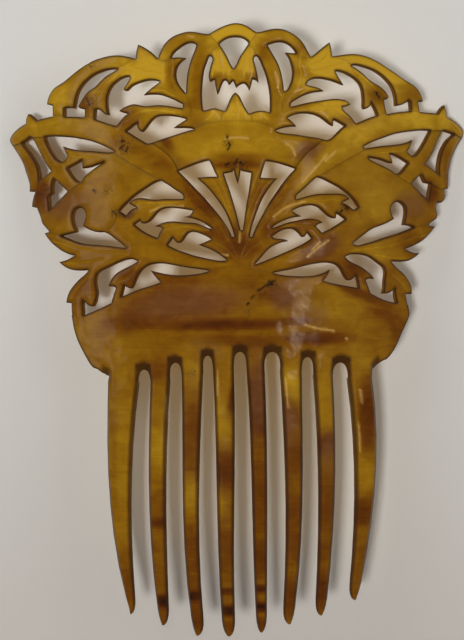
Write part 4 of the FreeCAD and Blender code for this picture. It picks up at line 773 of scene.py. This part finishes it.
def tooth_piece(node):
    """A tooth lofted through dressed sections that follow the CAD tooth."""
    flat, polygons = unrolled(node)
    edges = np.array([(a, b) for p in polygons for a, b in zip(p, p[1:] + p[:1])])
    top, tip = flat[:, 1].max(), flat[:, 1].min()
    heights = tooth_heights(top, tip)
    rings, depths, darks, places = [], [], [], []
    for z in heights:
        s_low, s_high, r_low, r_high = sliced(flat, edges, z)
        half_width, half_depth = 0.5 * (s_high - s_low), 0.5 * (r_high - r_low)
        section = tooth_profile(half_width, half_depth)
        s = 0.5 * (s_low + s_high) + section[:, 0]
        points = np.stack([s, np.full(len(s), z)], 1)
        places.append(bent(points, 0.5 * (r_low + r_high) + section[:, 1]))
        rings.append(points)
        depths.append(half_depth - section[:, 1])
        # Painted shade on the dressed bevels along each side of the tooth.
        side = bevel_width(half_width)
        outer = np.clip((np.abs(section[:, 0]) - half_width + side) / side, 0.0, 1.0)
        darks.append(SLOT_DARK * np.clip(outer * 2.2, 0.0, 1.0) ** 1.2)
    end = places[-1].mean(0)
    end[2] = min(end[2], tip * MM + 1e-5)
    co = np.vstack(places + [end])
    points = np.concatenate(rings + [rings[-1][:1]])
    depth = np.concatenate(depths + [depths[-1][:1]])
    dark = np.concatenate(darks + [[TIP_DARK]])
    faces = lofted(len(rings[0]), len(heights))
    add_piece(node, co, faces, flat_values(points, depth, dark), (0, 0))


# ---------------------------------------------------------------- material

def linear(red, green, blue):
    """Screen colour (0 to 255) as scene-linear values."""
    out = []
    for c in (red, green, blue):
        c /= 255.0
        out.append(c / 12.92 if c <= 0.04045 else ((c + 0.055) / 1.055) ** 2.4)
    return (*out, 1.0)


# Colours from tone 0 to tone 1.
SHELL_TONES = [
    (0.00, linear(36, 16, 3)), (0.22, linear(86, 40, 2)), (0.42, linear(110, 62, 2)),
    (0.62, linear(137, 92, 5)), (0.82, linear(163, 120, 16)), (1.00, linear(200, 156, 34)),
]
# Colour of the painted sheen.
SHEEN_COLOUR = linear(120, 80, 48)
SPECK_COLOUR = linear(38, 18, 8)
# Pale colour of the painted glints.
GLINT_COLOUR = linear(204, 162, 84)
CRACK_COLOUR = linear(26, 14, 8)
# Dark edge colour, for grime along sawn edges and for painted shade in hollows and beside
# overlying motifs.
EDGE_COLOUR = linear(56, 28, 3)
WALL_BROWN, WALL_HONEY = linear(104, 62, 14), linear(150, 102, 26)


class Nodes:
    """Small helper that adds and wires shader nodes."""

    def __init__(self, material):
        material.use_nodes = True
        self.tree = material.node_tree
        self.tree.nodes.clear()

    def fill(self, socket, value):
        """Link a socket, or set a constant."""
        if isinstance(value, bpy.types.NodeSocket):
            self.tree.links.new(value, socket)
        else:
            socket.default_value = value

    def add(self, kind, inputs=None, **settings):
        node = self.tree.nodes.new("ShaderNode" + kind)
        for key, value in settings.items():
            setattr(node, key, value)
        for key, value in (inputs or {}).items():
            self.fill(node.inputs[key], value)
        return node

    def attribute(self, name):
        return self.add("Attribute", attribute_name=name).outputs["Fac"]

    def math(self, operation, a, b=0.0, c=0.0, clamp=False):
        node = self.add("Math", {0: a, 1: b, 2: c}, operation=operation, use_clamp=clamp)
        return node.outputs[0]

    def scaled(self, value, factor):
        """Value times factor, kept between 0 and 1."""
        return self.math("MULTIPLY", value, factor, clamp=True)

    def above(self, value, threshold, gain):
        """0 below the threshold, rising steeply to 1 above it."""
        return self.scaled(self.math("SUBTRACT", value, threshold), gain)

    def varied(self, base, value, amount):
        """Base moved up or down by a noise that swings about one half."""
        middle = self.math("SUBTRACT", base, amount / 2)
        return self.math("MULTIPLY_ADD", value, amount, middle)

    def mix(self, factor, a, b):
        node = self.add("Mix", data_type="RGBA", clamp_factor=True)
        for key, value in (("Factor", factor), ("A", a), ("B", b)):
            self.fill([s for s in node.inputs if s.name == key and s.enabled][0], value)
        return [o for o in node.outputs if o.enabled][0]

    def ramp(self, factor, stops):
        node = self.add("ValToRGB", {"Fac": factor})
        elements = node.color_ramp.elements
        while len(elements) < len(stops):
            elements.new(0.5)
        for element, (position, colour) in zip(elements, stops):
            element.position = position
            element.color = colour
        return node.outputs["Color"]

    def noise(self, vector, scale, detail=3.0, rough=0.5, distortion=0.0):
        node = self.add("TexNoise", {
            "Vector": vector, "Scale": scale, "Detail": detail, "Roughness": rough,
            "Distortion": distortion})
        return node.outputs["Fac"]

    def stretched(self, vector, sx, sy, sz, turn=0.0):
        node = self.add("Mapping", {"Vector": vector, "Scale": (sx, sy, sz),
                                    "Rotation": (0.0, 0.0, math.radians(turn))})
        return node.outputs["Vector"]

    def bump(self, height, strength, distance, **normal):
        node = self.add("Bump", {"Height": height, "Strength": strength, "Distance": distance,
                                 **normal})
        return node.outputs["Normal"]


def shell_noises(n, flat):
    """The noises that several parts of the shell share, in flat millimetres."""
    return {
        "clouds": n.noise(flat, 0.16, 4.0, 0.55, 0.6),
        "wisps": n.noise(n.stretched(flat, 0.14, 0.34, 0.2, 12), 1.0, 4.0, 0.55, 0.8),
        "lines": n.noise(n.stretched(flat, 0.05, 2.4, 0.2, 3), 1.0, 3.0, 0.6),
        "fine": n.noise(flat, 2.6, 4.0, 0.6),
        "worn": n.noise(n.stretched(flat, 0.9, 0.9, 0.9), 1.0, 3.0, 0.6),
    }


def shell_tone(n, noises):
    """The drawn clouds broken up by noise, with growth lines on the plain band and teeth."""
    tone = n.varied(n.attribute("tone"), noises["clouds"], 0.34)
    tone = n.varied(tone, noises["wisps"], 0.26)
    plain = n.add("MapRange", {"Value": n.attribute("flat_z"), "From Min": 32.0, "From Max": 18.0,
                               "To Min": 0.2, "To Max": 1.0}).outputs[0]
    streaks = n.math("MULTIPLY", n.math("SUBTRACT", noises["lines"], 0.5), plain)
    tone = n.math("MULTIPLY_ADD", streaks, 0.16, tone)
    lowered = n.math("SUBTRACT", tone, 0.04)
    return n.math("MULTIPLY_ADD", noises["fine"], 0.08, lowered, clamp=True)


def shell_specks(n, flat):
    """Dark specks everywhere, and pits gathered in the stains."""
    pits = n.noise(n.stretched(flat, 1.1, 0.8, 1.0, 25), 1.6, 3.0, 0.7, 1.2)
    pits = n.above(pits, 0.50, 9.0)
    stained = n.scaled(n.math("MULTIPLY", pits, n.attribute("stain")), 0.9)
    specks = n.above(n.noise(flat, 1.15, 2.0, 0.5), 0.735, 14.0)
    return n.math("MAXIMUM", n.math("MULTIPLY", specks, 0.7), stained)


def shell_colour(n, noises, specks):
    """Mottling with painted sheen, then specks, painted glints and cracks, then the dark edge
    colour (painted shade and edge grime), then the sawn walls.
    """
    colour = n.ramp(shell_tone(n, noises), SHELL_TONES)
    # Painted sheen, broken up by noise.
    colour = n.mix(n.scaled(n.attribute("milk"), noises["wisps"]), colour, SHEEN_COLOUR)
    colour = n.mix(specks, colour, SPECK_COLOUR)
    # Painted glints: strokes of painted highlight, broken up by noise.
    shine = n.scaled(n.attribute("shine"), n.math("MULTIPLY", noises["worn"], 1.5))
    colour = n.mix(shine, colour, GLINT_COLOUR)
    split = n.scaled(n.attribute("crack"), n.math("MULTIPLY", noises["worn"], 2.0))
    colour = n.mix(split, colour, CRACK_COLOUR)
    # Dark edge colour: painted shade, and grime along the sawn edges.
    colour = n.mix(n.scaled(n.attribute("dark"), 0.95), colour, EDGE_COLOUR)
    wall = n.mix(n.math("MULTIPLY", noises["clouds"], 0.8), WALL_BROWN, WALL_HONEY)
    return n.mix(n.math("MULTIPLY", n.attribute("cut"), 0.8), colour, wall)


def shell_roughness(n, flat, noises):
    """Polished, duller along scratches, on sawn walls and at dark edges."""
    scratches = n.noise(n.stretched(flat, 0.12, 6.0, 1.0, 34), 1.0, 2.0, 0.7)
    scratches = n.above(scratches, 0.60, 4.0)
    rough = n.math("MULTIPLY_ADD", noises["clouds"], 0.10, 0.055)
    rough = n.math("MULTIPLY_ADD", scratches, 0.18, rough)
    rough = n.math("MULTIPLY_ADD", n.attribute("cut"), 0.40, rough)
    return n.math("MULTIPLY_ADD", n.attribute("dark"), 0.45, rough, clamp=True)


def shell_surface(n, flat, noises, specks):
    """Slow swells of a hand-polished sheet, with fine wear and sunken specks."""
    swell = n.bump(n.noise(flat, 0.11, 2.0, 0.5), 0.34, 0.0014)
    wear = n.math("MULTIPLY_ADD", noises["fine"], 0.5, n.math("MULTIPLY", noises["lines"], 0.7))
    wear = n.math("MULTIPLY_ADD", specks, -1.2, wear)
    return n.bump(wear, 0.20, 0.00009, Normal=swell)


def shell_material():
    """Polished, mottled celluloid: honey and brown clouds, fine growth lines, dark cut edges
    (grime and painted shade), with painted sheen and glints.
    """
    material = bpy.data.materials.new("mottled_shell")
    n = Nodes(material)
    flat = n.add("CombineXYZ", {0: n.attribute("flat_s"), 1: n.attribute("flat_z"),
                                2: n.attribute("flat_d")}).outputs[0]
    noises = shell_noises(n, flat)
    specks = shell_specks(n, flat)
    shader = n.add("BsdfPrincipled", {
        "Base Color": shell_colour(n, noises, specks),
        "Roughness": shell_roughness(n, flat, noises),
        "Normal": shell_surface(n, flat, noises, specks),
        "Specular IOR Level": 0.42, "IOR": 1.5, "Coat Weight": 0.08, "Coat Roughness": 0.08})
    n.add("OutputMaterial", {"Surface": shader.outputs[0]})
    return material


def paper_material(name, red, green, blue, one_sided=False):
    """Matt studio paper with a faint fibre, and painted shade that makes it a little greyer low
    down.
    """
    material = bpy.data.materials.new(name)
    n = Nodes(material)
    where = n.add("TexCoord").outputs["Object"]
    fibre = n.math("MULTIPLY", n.noise(where, 240.0, 4.0, 0.6), 0.10)
    paper = n.mix(fibre, linear(red, green, blue), linear(red - 26, green - 26, blue - 26))
    # Painted shade: the paper is mixed towards a greyer colour low down, darker towards the
    # bottom.
    height = n.add("SeparateXYZ", {0: where}).outputs["Z"]
    lower = n.add("MapRange", {"Value": height, "From Min": 0.05, "From Max": -0.12})
    paper = n.mix(n.math("MULTIPLY", lower.outputs[0], 0.9), paper, linear(196, 189, 182))
    shader = n.add("BsdfPrincipled", {"Base Color": paper, "Roughness": 0.9,
                                      "Specular IOR Level": 0.15}).outputs[0]
    if one_sided:
        back = n.add("NewGeometry").outputs["Backfacing"]
        clear = n.add("BsdfTransparent").outputs[0]
        shader = n.add("MixShader", {0: back, 1: shader, 2: clear}).outputs[0]
    n.add("OutputMaterial", {"Surface": shader})
    return material


shell = shell_material()
for node in plates:
    plate_piece(node)
for node in teeth:
    tooth_piece(node)


# ---------------------------------------------------------------- studio

FLOOR = -0.75                # height of the floor
WALL = 0.0268                # the backdrop stands just behind the comb's side edges
FLOOR_REACH = 6.0
WALL_REACH, WALL_TOP = 1.5, 1.4
ROOM_REACH = 6.0
AMBIENT = (1.0, 0.97, 0.92, 1.0)
AMBIENT_STRENGTH = 0.10


def stage_mesh(name, material, corners, faces):
    """A piece of the studio, not of the comb."""
    mesh = bpy.data.meshes.new(name)
    mesh.from_pydata(corners, [], faces)
    mesh.materials.append(material)
    piece = bpy.data.objects.new(name, mesh)
    bpy.context.scene.collection.objects.link(piece)
    return piece


def add_floor():
    """Pale floor far below, which casts no light back on the comb."""
    r = FLOOR_REACH
    floor = stage_mesh("floor", paper_material("floor_paper", 222, 219, 212),
                       [(-r, -r, FLOOR), (r, -r, FLOOR), (r, r, FLOOR), (-r, r, FLOOR)],
                       [(0, 1, 2, 3)])
    floor.visible_diffuse = False
    floor.visible_glossy = False


def add_backdrop():
    """Pale card right behind the comb, clear when looked at from behind."""
    r = WALL_REACH
    backdrop = stage_mesh(
        "backdrop", paper_material("backdrop_paper", 226, 225, 221, one_sided=True),
        [(-r, WALL, FLOOR), (r, WALL, FLOOR), (r, WALL, WALL_TOP), (-r, WALL, WALL_TOP)],
        [(0, 1, 2, 3)])
    backdrop.visible_shadow = False


def add_walls():
    """Pale studio walls far away, which only fill the view behind the comb."""
    material = bpy.data.materials.new("studio_walls")
    n = Nodes(material)
    glow = n.add("Emission", {"Color": linear(206, 203, 196), "Strength": 1.0})
    n.add("OutputMaterial", {"Surface": glow.outputs[0]})
    ends = (-ROOM_REACH, ROOM_REACH)
    corners = [(x, y, z) for x in ends for y in ends for z in ends]
    faces = [(0, 1, 3, 2), (4, 6, 7, 5), (0, 4, 5, 1), (2, 3, 7, 6), (0, 2, 6, 4), (1, 5, 7, 3)]
    walls = stage_mesh("studio_walls", material, corners, faces)
    walls.visible_diffuse = False
    walls.visible_glossy = False
    walls.visible_shadow = False


# Soft lights on the comb that the polish does not mirror:
# (name, place, aim, size, watts, colour).
SOFT_LIGHTS = [
    ("key_window", (-0.23, -1.16, -0.16), (0, 0, 0), (0.16, 0.16), 6.8, (1.0, 0.99, 0.97)),
    ("top_left_window", (-0.5, -0.55, 0.55), (0, 0, 0.03), (0.5, 0.5), 1.8, (0.97, 0.99, 1.0)),
    ("right_fill", (0.8, -0.7, 0.15), (0.1, 0, 0), (0.6, 0.6), 2.4, (1.0, 0.99, 0.97)),
    ("back_fill", (0.1, 1.3, 0.6), (0, 0, 0), (0.7, 0.7), 10.0, (1.0, 0.98, 0.95)),
]
# Panes of one mirrored window, one above another, as (x, height, width, tallness).
PANES = [
    (0.50, 0.020, 0.12, 0.035), (0.62, 0.110, 0.09, 0.020), (0.60, 0.205, 0.05, 0.030),
    (0.50, 0.310, 0.08, 0.04),
]
PANE_DISTANCE = -1.31
PANE_POWER = 36.0            # watts per square metre
PANE_COLOUR = (1.0, 0.84, 0.68)


def lamp(name, place, aim, size, power, colour, mirrored=False):
    """A rectangular light; the polish shows its reflection only where mirrored is true."""
    data = bpy.data.lights.new(name, "AREA")
    data.shape = "RECTANGLE"
    data.size, data.size_y = size
    data.energy = power
    data.color = colour
    piece = bpy.data.objects.new(name, data)
    piece.location = place
    piece.rotation_euler = (Vector(aim) - Vector(place)).to_track_quat("-Z", "Y").to_euler()
    piece.visible_glossy = mirrored
    bpy.context.scene.collection.objects.link(piece)
    return piece


def add_lights():
    """Soft shading lights, a few mirrored ones for the highlights, and a warm glow behind."""
    for name, place, aim, size, power, colour in SOFT_LIGHTS:
        lamp(name, place, aim, size, power, colour)
    for number, (side, height, width, tall) in enumerate(PANES):
        lamp(f"pane_{number}", (side, PANE_DISTANCE, height), (0.018, 0, 0.01), (width, tall),
             PANE_POWER * width * tall, PANE_COLOUR, mirrored=True)
    lamp("left_panel", (-0.95, -0.75, 0.25), (0, 0, 0.02), (0.3, 0.7), 0.5, (1.0, 0.93, 0.85),
         mirrored=True)
    lamp("floor_light", (0, 0, -0.30), (0, 0.0001, FLOOR), (13.0, 13.0), 400.0, (1.0, 0.99, 0.97))
    # Stands for the amber light that comes through the sheet onto the backdrop.
    glow = lamp("light_through_shell", (0, 0.0115, 0.012), (0, 1, 0.012), (0.084, 0.15), 0.006,
                (1.0, 0.66, 0.18))
    glow.visible_camera = False


def add_world():
    """Faint warm light from all round."""
    world = bpy.data.worlds.new("studio")
    world.use_nodes = True
    background = world.node_tree.nodes["Background"]
    background.inputs["Color"].default_value = AMBIENT
    background.inputs["Strength"].default_value = AMBIENT_STRENGTH
    bpy.context.scene.world = world
    bpy.context.scene.view_settings.view_transform = "Standard"


add_floor()
add_backdrop()
add_walls()
add_lights()
add_world()


# ---------------------------------------------------------------- camera

ROLL = math.radians(0.9)     # the comb leans very slightly anticlockwise in the view
CAMERA_PLACE = (-0.002424, -0.4315, 0.009939)
SENSOR_HEIGHT, LENS = 36.0, 80.6


def add_camera():
    """A level camera that looks straight along +Y, rolled a little."""
    data = bpy.data.cameras.new("camera")
    data.sensor_fit = "VERTICAL"
    data.sensor_height = SENSOR_HEIGHT
    data.lens = LENS
    camera = bpy.data.objects.new("camera", data)
    right = Vector((math.cos(ROLL), 0, -math.sin(ROLL)))
    up = Vector((math.sin(ROLL), 0, math.cos(ROLL)))
    towards = Vector((0, -1, 0))
    turn = Matrix((right, up, towards)).transposed().to_4x4()
    camera.matrix_world = Matrix.Translation(CAMERA_PLACE) @ turn
    bpy.context.scene.collection.objects.link(camera)
    bpy.context.scene.camera = camera


add_camera()
